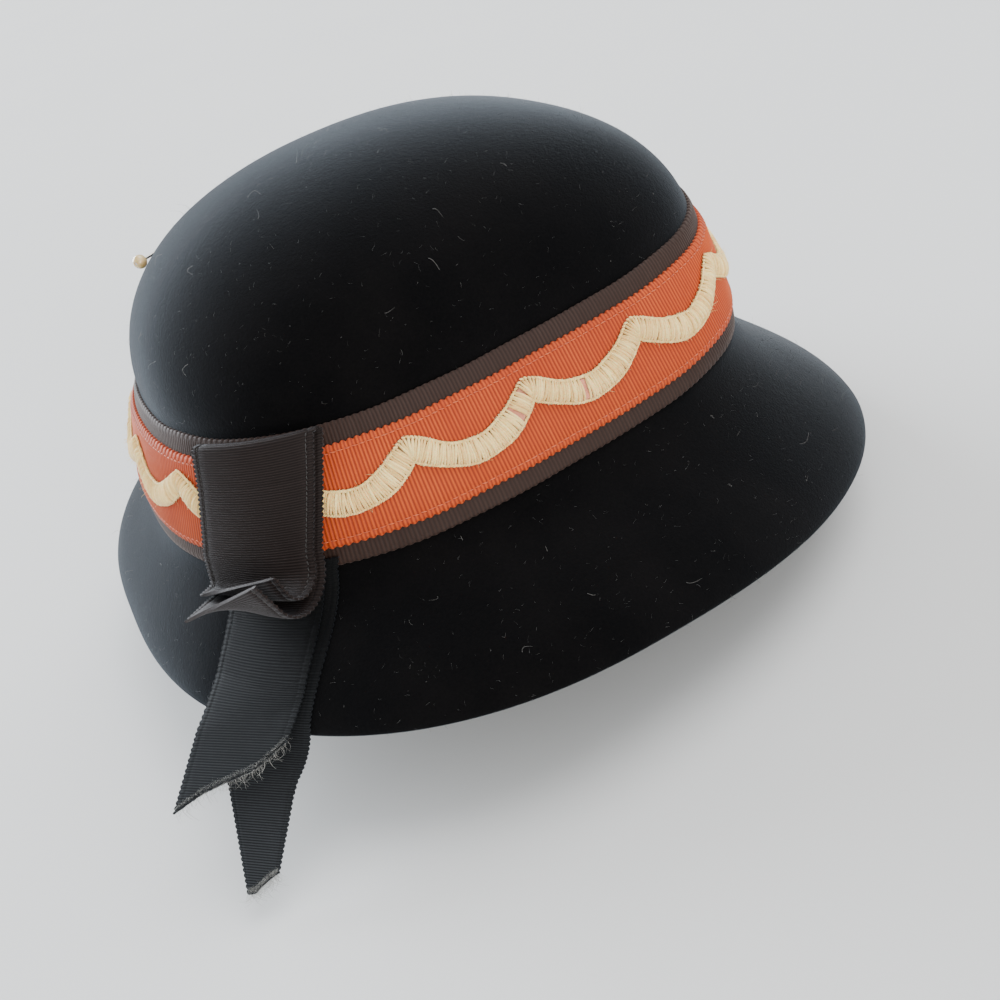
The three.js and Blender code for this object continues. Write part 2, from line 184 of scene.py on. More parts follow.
# Turns points (mm) and faces into an object, with values kept on its points for the node trees.
def newPiece(name, points, faces, values=None, smooth=True):
    mesh = bpy.data.meshes.new(name)
    mesh.from_pydata((np.asarray(points, float).reshape(-1, 3) * mm).tolist(), [], faces)
    mesh.update()
    for label, data in (values or {}).items():
        data = np.asarray(data, np.float32)
        wide = data.ndim > 1
        kept = mesh.attributes.new(label, "FLOAT_VECTOR" if wide else "FLOAT", "POINT")
        kept.data.foreach_set("vector" if wide else "value", data.ravel())
    if smooth:
        mesh.shade_smooth()
    else:
        mesh.shade_flat()
    piece = bpy.data.objects.new(name, mesh)
    bpy.context.scene.collection.objects.link(piece)
    return piece


# Keeps a piece's pattern across and along the cloth in its UV map.
def setUv(piece, across, along):
    mesh = piece.data
    loops = np.zeros(len(mesh.loops), np.int32)
    mesh.loops.foreach_get("vertex_index", loops)
    layer = mesh.uv_layers.new(name="cloth")
    pair = np.stack([np.asarray(along).ravel()[loops], np.asarray(across).ravel()[loops]], -1)
    layer.data.foreach_set("uv", pair.astype(np.float32).ravel())


# Node helpers, for materials and geometry alike. Links a socket, or sets its own value.
def feed(tree, socket, value):
    if isinstance(value, bpy.types.NodeSocket):
        tree.links.new(value, socket)
    elif value is not None:
        socket.default_value = value


def addNode(tree, kind, **sockets):
    node = tree.nodes.new(kind)
    for key, value in sockets.items():
        if hasattr(node, key) and not key[0].isupper():
            setattr(node, key, value)
        else:
            feed(tree, node.inputs[key.replace("_", " ")], value)
    return node


def calc(tree, operation, *values):
    node = addNode(tree, "ShaderNodeMath", operation=operation)
    for socket, value in zip(node.inputs, values):
        feed(tree, socket, value)
    return node.outputs[0]


def calcVector(tree, operation, first, second=None, scale=None):
    node = addNode(tree, "ShaderNodeVectorMath", operation=operation)
    for place, value in ((0, first), (1, second), (3, scale)):
        feed(tree, node.inputs[place], value)
    return node.outputs[0]


# A random number for each point or shape. Its step keeps it apart from the others of one seed.
def anyBetween(tree, low, high, seed, step):
    node = addNode(tree, "FunctionNodeRandomValue", data_type="FLOAT")
    feed(tree, node.inputs[2], low)
    feed(tree, node.inputs[3], high)
    feed(tree, node.inputs["Seed"], calc(tree, "ADD", seed, step))
    return node.outputs[1]


def turnedBy(tree, facing, turn):
    return addNode(
        tree,
        "FunctionNodeRotateRotation",
        rotation_space="LOCAL",
        Rotation=facing,
        Rotate_By=turn,
    ).outputs[0]


def startTree(name, inputs):
    tree = bpy.data.node_groups.new(name, "GeometryNodeTree")
    tree.interface.new_socket("Geometry", in_out="INPUT", socket_type="NodeSocketGeometry")
    for label, kind, value in inputs:
        socket = tree.interface.new_socket(label, in_out="INPUT", socket_type="NodeSocket" + kind)
        if value is not None:
            socket.default_value = value
    tree.interface.new_socket("Geometry", in_out="OUTPUT", socket_type="NodeSocketGeometry")
    return tree, tree.nodes.new("NodeGroupInput").outputs, tree.nodes.new("NodeGroupOutput").inputs[0]


def named(tree, name, kind="FLOAT"):
    return addNode(tree, "GeometryNodeInputNamedAttribute", data_type=kind, Name=name).outputs[0]


# Runs a node tree on a piece and keeps the result as its plain mesh.
def runTree(piece, tree, values):
    modifier = piece.modifiers.new(tree.name, "NODES")
    modifier.node_group = tree
    for item in tree.interface.items_tree:
        if item.in_out == "INPUT" and item.name in values:
            modifier[item.identifier] = values[item.name]
    graph = bpy.context.evaluated_depsgraph_get()
    mesh = bpy.data.meshes.new_from_object(piece.evaluated_get(graph))
    piece.modifiers.clear()
    piece.data = mesh
    mesh.name = piece.name
    dropWorkValues(mesh)
    return piece


# Values that only the node trees need.
workValues = ("rib", "inset", "lift", "spread", "ahead", "size", "outer")


def dropWorkValues(mesh):
    for label in [a.name for a in mesh.attributes if a.name in workValues]:
        mesh.attributes.remove(mesh.attributes[label])


# Ends a tree with real mesh in its material.
def endTree(tree, shapes, given, result):
    real = addNode(tree, "GeometryNodeRealizeInstances", Geometry=shapes)
    done = addNode(tree, "GeometryNodeSetMaterial", Geometry=real.outputs[0], Material=given["Material"])
    tree.links.new(done.outputs[0], result)


# Ribbed relief of grosgrain: ribs across the cloth, wider ones in the selvedge with a small loop at
# the end of each, and a sunk line between the two.
def makeRibTree():
    tree, given, result = startTree(
        "grosgrainRibs",
        [
            ("Rib Height", "Float", 0.0002),
            ("Loop Reach", "Float", 0.0003),
            ("Selvedge", "Float", 0.0016),
            ("Line Depth", "Float", 0.0002),
            ("Line Width", "Float", 0.0003),
            ("Material", "Material", None),
        ],
    )
    rib, inset = named(tree, "rib"), named(tree, "inset")
    fine = calc(tree, "COSINE", calc(tree, "MULTIPLY", rib, 2 * math.pi))
    arcs = calc(tree, "ABSOLUTE", calc(tree, "COSINE", calc(tree, "MULTIPLY", rib, math.pi / 2)))
    wide = calc(tree, "MULTIPLY_ADD", arcs, 2.0, -1.0)
    inSelvedge = calc(tree, "LESS_THAN", inset, given["Selvedge"])
    wave = addNode(tree, "ShaderNodeMix", Factor=inSelvedge, A=fine, B=wide).outputs[0]
    away = calc(tree, "ABSOLUTE", calc(tree, "SUBTRACT", inset, given["Selvedge"]))
    nearLine = calc(tree, "SUBTRACT", 1.0, calc(tree, "DIVIDE", away, given["Line Width"]))
    sunk = calc(tree, "MAXIMUM", nearLine, 0.0)
    height = calc(tree, "MULTIPLY", calc(tree, "MULTIPLY", wave, 0.5), given["Rib Height"])
    height = calc(tree, "SUBTRACT", height, calc(tree, "MULTIPLY", sunk, given["Line Depth"]))
    loop = calc(tree, "MULTIPLY", calc(tree, "MULTIPLY_ADD", wide, 0.5, 0.5), given["Loop Reach"])
    moved = calcVector(
        tree,
        "ADD",
        calcVector(tree, "SCALE", named(tree, "lift", "FLOAT_VECTOR"), scale=height),
        calcVector(tree, "SCALE", named(tree, "spread", "FLOAT_VECTOR"), scale=loop),
    )
    ribbed = addNode(tree, "GeometryNodeSetPosition", Geometry=given["Geometry"], Offset=moved)
    endTree(tree, ribbed.outputs[0], given, result)
    return tree


# Sets a small shape on each point, turned by the point's own directions and a little at random.
def makePlaceTree():
    tree, given, result = startTree(
        "placeShapes",
        [
            ("Shapes", "Collection", None),
            ("Turn", "Vector", (0.0, 0.0, 0.0)),
            ("Size Spread", "Float", 0.1),
            ("Seed", "Int", 1),
            ("Material", "Material", None),
        ],
    )
    facing = addNode(
        tree,
        "FunctionNodeAxesToRotation",
        primary_axis="X",
        secondary_axis="Z",
        Primary_Axis=named(tree, "ahead", "FLOAT_VECTOR"),
        Secondary_Axis=named(tree, "lift", "FLOAT_VECTOR"),
    )
    back = calcVector(tree, "SCALE", given["Turn"], scale=-1.0)
    turned = addNode(tree, "FunctionNodeRandomValue", data_type="FLOAT_VECTOR")
    tree.links.new(back, turned.inputs[0])
    tree.links.new(given["Turn"], turned.inputs[1])
    tree.links.new(given["Seed"], turned.inputs["Seed"])
    facing = turnedBy(tree, facing.outputs[0], turned.outputs[0])
    least = calc(tree, "SUBTRACT", 1.0, given["Size Spread"])
    most = calc(tree, "ADD", 1.0, given["Size Spread"])
    spread = anyBetween(tree, least, most, given["Seed"], 7.0)
    size = calcVector(tree, "SCALE", named(tree, "size", "FLOAT_VECTOR"), scale=spread)
    shapesOn(tree, given["Geometry"], facing, size, given, result)
    return tree


# Puts one of the shapes on each point and gives it a shade of its own.
def shapesOn(tree, points, facing, size, given, result):
    shapes = addNode(
        tree, "GeometryNodeCollectionInfo", Collection=given["Shapes"], Separate_Children=True
    )
    placed = addNode(
        tree,
        "GeometryNodeInstanceOnPoints",
        Points=points,
        Instance=shapes.outputs[0],
        Pick_Instance=True,
        Rotation=facing,
        Scale=size,
    )
    shaded = addNode(
        tree,
        "GeometryNodeStoreNamedAttribute",
        domain="INSTANCE",
        data_type="FLOAT",
        Geometry=placed.outputs[0],
        Name="shade",
        Value=anyBetween(tree, None, None, given["Seed"], 31.0),
    )
    endTree(tree, shaded.outputs[0], given, result)


# Scatters loose fibres over the faces of a piece, leaning and turned at random.
def makeFibreTree():
    tree, given, result = startTree(
        "looseFibres",
        [
            ("Shapes", "Collection", None),
            ("Fibres Per Area", "Float", 10000.0),
            ("Shortest", "Float", 0.001),
            ("Longest", "Float", 0.002),
            ("Least Lean", "Float", 0.5),
            ("Most Lean", "Float", 1.4),
            ("Seed", "Int", 1),
            ("Material", "Material", None),
        ],
    )
    spots = addNode(
        tree,
        "GeometryNodeDistributePointsOnFaces",
        distribute_method="RANDOM",
        Mesh=given["Geometry"],
        Density=calc(tree, "MULTIPLY", named(tree, "outer"), given["Fibres Per Area"]),
        Seed=given["Seed"],
    )
    lean = anyBetween(tree, given["Least Lean"], given["Most Lean"], given["Seed"], 3.0)
    spin = anyBetween(tree, None, 2 * math.pi, given["Seed"], 5.0)
    spun = addNode(tree, "ShaderNodeCombineXYZ", Z=spin)
    leaned = addNode(tree, "ShaderNodeCombineXYZ", X=lean)
    facing = spots.outputs["Rotation"]
    for step in (spun, leaned, spun):
        facing = turnedBy(tree, facing, step.outputs[0])
    size = anyBetween(tree, given["Shortest"], given["Longest"], given["Seed"], 9.0)
    shapesOn(tree, spots.outputs[0], facing, size, given, result)
    return tree


# Faces between each ring of points and the next, and from the last ring to the first where joined.
def ringFaces(rings, around, joined=True):
    faces = []
    for ring in range(rings if joined else rings - 1):
        a, b = ring * around, (ring + 1) % rings * around
        for k in range(around):
            right = (k + 1) % around
            faces.append((a + k, a + right, b + right, b + k))
    return faces


# A round tube along a line of points (mm), with flat ends.
def tubePoints(line, radii, sides):
    line = np.asarray(line, float)
    ahead = unit(np.gradient(line, axis=0))
    side = unit(np.cross(ahead, np.array([0.31, 0.93, 0.17])))
    up = np.cross(side, ahead)
    turn = np.arange(sides) * 2 * math.pi / sides
    ring = np.cos(turn)[:, None, None] * side + np.sin(turn)[:, None, None] * up
    points = line[:, None] + np.transpose(ring, (1, 0, 2)) * np.asarray(radii)[:, None, None]
    faces = ringFaces(len(line), sides, joined=False)
    last = (len(line) - 1) * sides
    faces.append(tuple(range(sides))[::-1])
    faces.append(tuple(last + k for k in range(sides)))
    return points.reshape(-1, 3), faces


# A collection of small template shapes that the node trees pick from. It is taken away at the end.
def shapeSet(name, lines):
    kept = bpy.data.collections.new(name)
    for place, (line, radii, sides) in enumerate(lines):
        points, faces = tubePoints(line, radii, sides)
        shape = newPiece(f"{name}{place}", points, faces)
        fixNormals(shape)
        kept.objects.link(shape)
        bpy.context.scene.collection.objects.unlink(shape)
    return kept


def fixNormals(piece, near=1e-7):
    work = bmesh.new()
    work.from_mesh(piece.data)
    bmesh.ops.remove_doubles(work, verts=work.verts, dist=near)
    bmesh.ops.dissolve_degenerate(work, edges=work.edges, dist=near)
    bmesh.ops.recalc_face_normals(work, faces=work.faces)
    work.to_mesh(piece.data)
    work.free()
    return piece


# A set of points (mm) with their directions and sizes, for the trees that place shapes.
def pointSet(name, points, ahead, lift, size):
    count = len(points)
    size = np.broadcast_to(np.asarray(size, float), (count, 3))
    return newPiece(name, points, [], {"ahead": ahead, "lift": lift, "size": size}, smooth=False)


# Runs the tree that sets shapes on the points of a set.
def setShapes(piece, shapes, turn, spread, seed, look):
    values = {"Shapes": shapes, "Turn": turn, "Size Spread": spread, "Seed": seed}
    return runTree(piece, placeTree, {**values, "Material": finish[look]})


# Materials. Numbers that are the same all over sit on the shader's own sockets.
def startMaterial(name, settings):
    material = bpy.data.materials.new(name)
    material.use_nodes = True
    tree = material.node_tree
    shader = tree.nodes["Principled BSDF"]
    for key, value in settings.items():
        shader.inputs[key].default_value = value
    return material, tree, shader


def dress(tree, shader, colour, normal):
    feed(tree, shader.inputs["Base Color"], colour)
    feed(tree, shader.inputs["Normal"], normal)


def colourMix(tree, share, first, second):
    node = addNode(tree, "ShaderNodeMix", data_type="RGBA")
    for place, value in ((0, share), (6, first), (7, second)):
        feed(tree, node.inputs[place], value)
    return node.outputs[2]


def ownPlace(tree):
    return addNode(tree, "ShaderNodeTexCoord").outputs["Object"]


def ramp(tree, value, low, high):
    node = addNode(tree, "ShaderNodeMapRange", Value=value, From_Min=low, From_Max=high)
    node.clamp = True
    return node.outputs[0]


def noise(tree, place, scale, detail=3.0, roughness=0.55):
    return addNode(
        tree, "ShaderNodeTexNoise", Vector=place, Scale=scale, Detail=detail, Roughness=roughness
    ).outputs[0]


def bump(tree, height, strength, distance, under=None):
    node = addNode(tree, "ShaderNodeBump", Height=height, Strength=strength, Distance=distance)
    if under is not None:
        tree.links.new(under, node.inputs["Normal"])
    return node.outputs[0]


feltLook = {
    "deep": (0.0008, 0.0007, 0.0008, 1),
    "worn": (0.0034, 0.0029, 0.0029, 1),
    "sheen": 0.23,
    "sheenColour": (0.66, 0.75, 0.86, 1),
    "cloudScale": 38.0,
    "napScale": 1400.0,
    "brushScale": (900.0, 620.0, 1500.0),
    "unevenScale": 220.0,
}


def feltMaterial():
    material, tree, shader = startMaterial(
        "blackFelt",
        {
            "Roughness": 0.92,
            "Specular IOR Level": 0.03,
            "Sheen Weight": feltLook["sheen"],
            "Sheen Roughness": 0.41,
            "Sheen Tint": feltLook["sheenColour"],
        },
    )
    place = ownPlace(tree)
    cloudy = ramp(tree, noise(tree, place, feltLook["cloudScale"], 4.0), 0.38, 0.66)
    nap = noise(tree, place, feltLook["napScale"], 5.0, 0.7)
    grain = ramp(tree, nap, 0.35, 0.75)
    share = calc(tree, "MULTIPLY_ADD", grain, 0.55, calc(tree, "MULTIPLY", cloudy, 0.45))
    dyed = colourMix(tree, share, feltLook["deep"], feltLook["worn"])
    stretched = addNode(tree, "ShaderNodeMapping", Vector=place)
    stretched.inputs["Scale"].default_value = feltLook["brushScale"]
    brushed = noise(tree, stretched.outputs[0], 1.0, 4.0, 0.65)
    rough = bump(tree, noise(tree, place, feltLook["unevenScale"], 3.0), 0.08, 0.0008)
    fine = bump(tree, nap, 0.45, 0.0003, rough)
    dress(tree, shader, dyed, bump(tree, brushed, 0.35, 0.00025, fine))
    return material


warpPitch = 0.23
agedScale = 42.0


# Grosgrain reads its UV map: along the cloth in ribs, and across it in millimetres.
def grosgrainMaterial(name, look):
    material, tree, shader = startMaterial(
        name,
        {
            "Roughness": look["roughness"],
            "Specular IOR Level": look["gloss"],
            "Sheen Weight": look["sheen"],
            "Sheen Roughness": 0.35,
            "Sheen Tint": look["sheenColour"],
        },
    )
    cloth = addNode(tree, "ShaderNodeUVMap", uv_map="cloth").outputs[0]
    place = ownPlace(tree)
    parts = addNode(tree, "ShaderNodeSeparateXYZ", Vector=cloth)
    ribs = calc(tree, "COSINE", calc(tree, "MULTIPLY", parts.outputs[0], 2 * math.pi))
    crest = calc(tree, "MULTIPLY_ADD", ribs, 0.5, 0.5)
    warps = calc(tree, "SINE", calc(tree, "MULTIPLY", parts.outputs[1], 2 * math.pi / warpPitch))
    perRib = addNode(tree, "ShaderNodeCombineXYZ", X=calc(tree, "ROUND", parts.outputs[0]))
    perRib = addNode(tree, "ShaderNodeTexWhiteNoise", Vector=perRib.outputs[0]).outputs[0]
    aged = ramp(tree, noise(tree, place, agedScale, 4.0), 0.36, 0.68)
    slub = addNode(tree, "ShaderNodeMapping", Vector=cloth)
    slub.inputs["Scale"].default_value = (0.9, 0.35, 1.0)
    slubs = noise(tree, slub.outputs[0], 1.6, 4.0, 0.6)
    share = calc(tree, "MULTIPLY_ADD", perRib, 0.3, calc(tree, "MULTIPLY", slubs, 0.7))
    share = calc(tree, "MULTIPLY_ADD", aged, 0.5, calc(tree, "MULTIPLY_ADD", share, 0.9, -0.25))
    # Painted sheen: the ribbon is painted paler towards its end, counted in ribs.
    if "paintedSheenRibs" in look:
        sheenToEnd = calc(tree, "DIVIDE", parts.outputs[0], look["paintedSheenRibs"])
        share = calc(tree, "MULTIPLY_ADD", share, 0.35, calc(tree, "MULTIPLY_ADD", sheenToEnd, 1.2, -0.45))
    dyed = colourMix(tree, share, look["deep"], look["faded"])
    # Painted shade: the grooves between the ribs are painted darker, in the groove shade colour, and the
    # crests in the dyed colour.
    lit = calc(tree, "MULTIPLY_ADD", calc(tree, "MULTIPLY", crest, warps), 0.12, crest)
    colour = colourMix(tree, lit, look["grooveShade"], dyed)
    threads = calc(tree, "MULTIPLY", warps, calc(tree, "MULTIPLY_ADD", crest, 0.7, 0.3))
    woven = bump(tree, threads, 0.35, 0.00008)
    dress(tree, shader, colour, bump(tree, slubs, 0.2, 0.0003, woven))
    return material


# Yarn and loose fibres: a shade for each strand, with fine twisted fibres along it.
def yarnMaterial(name, look):
    material, tree, shader = startMaterial(
        name,
        {
            "Roughness": look["roughness"],
            "Specular IOR Level": 0.3,
            "Sheen Weight": look["sheen"],
            "Sheen Roughness": 0.5,
            "Subsurface Weight": look.get("soft", 0.0),
            "Subsurface Scale": 0.0006,
        },
    )
    place = ownPlace(tree)
    own = addNode(tree, "ShaderNodeAttribute", attribute_name="shade").outputs["Fac"]
    grain = noise(tree, place, look["grain"], 3.0, 0.6)
    share = calc(tree, "MULTIPLY_ADD", own, 0.6, calc(tree, "MULTIPLY_ADD", grain, 0.9, -0.3))
    colour = colourMix(tree, share, look["deep"], look["faded"])
    if "stain" in look:
        worn = addNode(tree, "ShaderNodeAttribute", attribute_name="worn").outputs["Fac"]
        colour = colourMix(tree, worn, colour, look["stain"])
    dress(tree, shader, colour, bump(tree, grain, 0.5, 0.0002))
    return material


def beadMaterial():
    material, tree, shader = startMaterial(
        "pearlyBead",
        {
            "Roughness": 0.22,
            "Coat Weight": 0.6,
            "Coat Roughness": 0.08,
            "Subsurface Weight": 0.35,
            "Subsurface Scale": 0.002,
            "Sheen Weight": 0.2,
        },
    )
    place = ownPlace(tree)
    swirl = ramp(tree, noise(tree, place, 480.0, 4.0), 0.35, 0.7)
    cream, gold = (0.72, 0.58, 0.32, 1), (0.50, 0.35, 0.13, 1)
    dress(tree, shader, colourMix(tree, swirl, gold, cream), bump(tree, swirl, 0.1, 0.0002))
    return material


def steelMaterial():
    material, tree, shader = startMaterial("pinSteel", {"Metallic": 1.0})
    place = ownPlace(tree)
    dull = noise(tree, place, 900.0, 3.0)
    tone = colourMix(tree, dull, (0.42, 0.40, 0.36, 1), (0.72, 0.70, 0.66, 1))
    tree.links.new(tone, shader.inputs["Base Color"])
    tree.links.new(calc(tree, "MULTIPLY_ADD", dull, 0.25, 0.18), shader.inputs["Roughness"])
    return material


def floorMaterial():
    material, tree, shader = startMaterial("paleFloor", {"Roughness": 0.9, "Specular IOR Level": 0.1})
    place = ownPlace(tree)
    tone = colourMix(tree, noise(tree, place, 3.0), (0.66, 0.665, 0.67, 1), (0.7, 0.7, 0.695, 1))
    tree.links.new(tone, shader.inputs["Base Color"])
    return material


# Ribbon looks. The groove shade colour is painted shade between the ribs.
orangeLook = {
    "deep": (0.44, 0.053, 0.0075, 1),
    "faded": (0.57, 0.095, 0.0150, 1),
    "grooveShade": (0.22, 0.021, 0.004, 1),
    "roughness": 0.62,
    "gloss": 0.22,
    "sheen": 0.12,
    "sheenColour": (1.0, 0.70, 0.5, 1),
}
brownLook = {
    "deep": (0.026, 0.0125, 0.0090, 1),
    "faded": (0.040, 0.0220, 0.0168, 1),
    "grooveShade": (0.017, 0.0088, 0.0066, 1),
    "roughness": 0.6,
    "gloss": 0.16,
    "sheen": 0.16,
    "sheenColour": (0.95, 0.80, 0.74, 1),
}
blackLook = {
    "deep": (0.0118, 0.0072, 0.0064, 1),
    "faded": (0.0220, 0.0150, 0.0135, 1),
    "grooveShade": (0.0052, 0.0032, 0.0029, 1),
    "roughness": 0.58,
    "gloss": 0.12,
    "sheen": 0.14,
    "sheenColour": (0.80, 0.86, 0.95, 1),
}
creamLook = {
    "deep": (0.67, 0.41, 0.13, 1),
    "faded": (0.98, 0.77, 0.34, 1),
    "roughness": 0.7,
    "sheen": 0.25,
    "grain": 1500.0,
    "soft": 0.2,
    "stain": (0.62, 0.25, 0.17, 1),
}
# Painted shade: the core is painted a darker brown, so the slits between the cross yarns read as shade.
# Its worn spots keep the real pink stain.
shadedCoreLook = {**creamLook, "deep": (0.20, 0.105, 0.038, 1), "faded": (0.42, 0.25, 0.10, 1)}
# Painted sheen: the tails are a lit copy of the black ribbon, darker at the top and painted paler and
# bluer towards their ends.
tailSheenLook = {
    **blackLook,
    "paintedSheenRibs": 110.0,  # painted sheen: the tails are painted palest this many ribs down
    "deep": (0.0020, 0.0020, 0.0022, 1),
    "faded": (0.0290, 0.0320, 0.0355, 1),
    "grooveShade": (0.0034, 0.0036, 0.0040, 1),
    "gloss": 0.08,
    "sheen": 0.10,
    "sheenColour": (0.66, 0.80, 1.0, 1),
}

finish = {
    "felt": feltMaterial(),
    "brown": grosgrainMaterial("brownGrosgrain", brownLook),
    "orange": grosgrainMaterial("orangeGrosgrain", orangeLook),
    "black": grosgrainMaterial("blackGrosgrain", blackLook),
    "tail": grosgrainMaterial("tailGrosgrain", tailSheenLook),
    "cream": yarnMaterial("creamYarn", creamLook),
    "creamCore": yarnMaterial("creamCore", shadedCoreLook),
    "bead": beadMaterial(),
    "steel": steelMaterial(),
    "floor": floorMaterial(),
}
threads = {
    "orangeThread": ((0.40, 0.055, 0.014, 1), (0.60, 0.125, 0.035, 1), 0.5, 0.3, 1800.0),
    "blackThread": ((0.003, 0.0025, 0.0025, 1), (0.013, 0.011, 0.010, 1), 0.5, 0.3, 1800.0),
    "feltNap": ((0.0012, 0.0012, 0.0013, 1), (0.0090, 0.0088, 0.0094, 1), 0.8, 0.4, 900.0),
    "paleLint": ((0.06, 0.058, 0.056, 1), (0.24, 0.23, 0.22, 1), 0.8, 0.3, 900.0),
    "frayedThread": ((0.13, 0.13, 0.125, 1), (0.42, 0.42, 0.39, 1), 0.7, 0.3, 900.0),
}
for name, thread in threads.items():
    finish[name] = yarnMaterial(name, dict(zip(("deep", "faded", "roughness", "sheen", "grain"), thread)))
ribTree, placeTree, fibreTree = makeRibTree(), makePlaceTree(), makeFibreTree()
print("stage: materials and node trees")


def templateFibre(bend, sway, radius, sides=3, steps=4):
    t = np.linspace(0, 1, steps + 1)
    line = np.stack([bend * t**2, sway * np.sin(t * math.pi), t], -1) * 1000  # a metre long, scaled later
    return line, radius * 1000 * np.linspace(1, 0.35, steps + 1), sides


fibreShapes = shapeSet(
    "fibre",
    [
        templateFibre(0.5, 0.05, 0.028),
        templateFibre(0.25, -0.12, 0.024),
        templateFibre(0.9, 0.1, 0.026),
    ],
)
curlyShapes = shapeSet(
    "curly",
    [
        templateFibre(0.9, 0.35, 0.016, steps=6),
        templateFibre(-0.6, 0.5, 0.014, steps=6),
        templateFibre(1.3, -0.25, 0.018, steps=6),
    ],
)

# Felt hood.
hood = {
    "columns": 288,
    "brimRows": 30,
    "wallRows": 6,
    "domeRows": 44,
    "rimRows": 6,
    "waviness": 0.3,
    "mergeUnder": 2e-5,
    # Fibres per square metre, their lengths in metres and how far they lean, in radians.
    "nap": (42000.0, (0.0006, 0.0013), (0.6, 1.3)),
    "lint": (4200.0, (0.001, 0.0032), (1.2, 1.5)),
}


# Slow unevenness of hand-blocked felt, in millimetres. The band's seat stays true.
def softWaves(points, level):
    x, y, z = points[..., 0], points[..., 1], points[..., 2]
    wave = np.sin(x / 17 + 1.3) * np.cos(y / 23 + 0.4) + 0.7 * np.sin(y / 13 + z / 19)
    wave = wave + 0.4 * np.sin(x / 7.5 - z / 9) * np.sin(y / 8.5 + 2)
    free = np.clip(np.maximum(-level, level - 1) * 5 - 0.25, 0, 1)
    return hood["waviness"] * 0.5 * wave * free


def buildHood():
    brim = np.linspace(-1, 0, hood["brimRows"] + 1)[:-1]
    wall = np.linspace(0, 1, hood["wallRows"] + 1)[:-1]
    dome = 1 + np.linspace(0, 1, hood["domeRows"] + 1) ** 0.9
    levels = np.concatenate([brim, wall, dome])
    rim = np.linspace(0, math.pi, hood["rimRows"] + 2)[1:-1]
    half = hat["felt"] / 2
    rowLevel = np.concatenate([levels, levels[::-1], 0 * rim - 1])
    rowHeight = np.concatenate([0 * levels, 0 * levels - hat["felt"], -half - half * np.cos(rim)])
    rowPush = np.concatenate([0 * levels, 0 * levels, 0.8 * np.sin(rim)])
    rowOuter = np.concatenate([0 * levels + 1, 0 * levels, 0 * rim + 1])
    rowOuter = np.where((rowLevel > -0.02) & (rowLevel < 1.0), 0, rowOuter)
    angle = np.linspace(0, 2 * math.pi, hood["columns"], endpoint=False)
    angles, level = np.meshgrid(angle, rowLevel)
    points = overFelt(angles, level, rowHeight[:, None] + 0 * angles)
    points = points + feltNormal(angles, level) * softWaves(points, level)[..., None]
    edgeWay = unit(feltFace(angle, -1.0) - feltFace(angle, -0.97))
    points = points + edgeWay[None] * rowPush[:, None, None]
    outer = np.repeat(rowOuter, hood["columns"])
    piece = newPiece("feltHoodFine", points, ringFaces(*level.shape), {"outer": outer})
    fixNormals(piece, hood["mergeUnder"])
    piece.data.materials.append(finish["felt"])
    return piece


hoodPiece = buildHood()


def fibresOn(source, name, shapes, perArea, lengths, lean, seed, look):
    piece = bpy.data.objects.new(name, source.data.copy())
    bpy.context.scene.collection.objects.link(piece)
    runTree(
        piece,
        fibreTree,
        {
            "Shapes": shapes,
            "Fibres Per Area": perArea,
            "Shortest": lengths[0],
            "Longest": lengths[1],
            "Least Lean": lean[0],
            "Most Lean": lean[1],
            "Seed": seed,
            "Material": finish[look],
        },
    )
    return piece


napPiece = fibresOn(hoodPiece, "feltNap", fibreShapes, *hood["nap"], 4, "feltNap")
lintPiece = fibresOn(hoodPiece, "paleLint", curlyShapes, *hood["lint"], 11, "paleLint")
print("stage: felt, nap", len(napPiece.data.polygons), "lint", len(lintPiece.data.polygons))


# A grid on the top of a sheet and one on its under side, in the order that runs round the sheet.
def roundSheet(top, under):
    return np.concatenate([top, under[:, ::-1]], 1)


# One ribbon as a closed sheet. top and under are grids of points, along the cloth by across it.
def ribbonPiece(name, top, under, normal, across, rib, inset, wide, closed, look, relief):
    count, wideRows = top.shape[:2]
    ring = 2 * wideRows
    points = roundSheet(top, under)
    lift = roundSheet(normal, 0 * normal if closed else -normal)
    edge = np.zeros((1, wideRows, 1))
    edge[0, 0], edge[0, -1] = -1, 1
    spread = roundSheet(across * edge, across * edge)
    ribs, insets, sideways = (
        roundSheet(grid, grid)
        for grid in (np.broadcast_to(value, (count, wideRows)) for value in (rib, inset * mm, wide))
    )
    faces = ringFaces(count, ring, joined=closed)
    if not closed:
        for a in (0, (count - 1) * ring):
            for k in range(wideRows - 1):
                faces.append((a + k, a + k + 1, a + ring - 2 - k, a + ring - 1 - k))
    values = {
        "rib": ribs.ravel(),
        "inset": insets.ravel(),
        "lift": lift.reshape(-1, 3),
        "spread": spread.reshape(-1, 3),
    }
    piece = newPiece(name, points, faces, values)
    setUv(piece, sideways, ribs)
    fixNormals(piece)
    runTree(piece, ribTree, {**relief, "Material": finish[look]})
    piece.data.set_sharp_from_angle(angle=math.radians(72))  # only the selvedges stay sharp
    return piece


# Every ribbon: the width of its selvedge (mm) and the rows of points along each rib.
selvedge = 1.6
rowsPerRib = 4


# Rows across a ribbon: close together at its selvedges and their lines, wider in the middle.
def rowsAcross(width, middleRows):
    near = [0, 0.25, 0.7, selvedge - 0.35, selvedge, selvedge + 0.35]
    middle = np.linspace(selvedge + 0.35, width - selvedge - 0.35, middleRows + 2)[1:-1]
    place = np.array(near + list(middle) + [width - v for v in reversed(near)])
    return place, np.minimum(place, width - place)


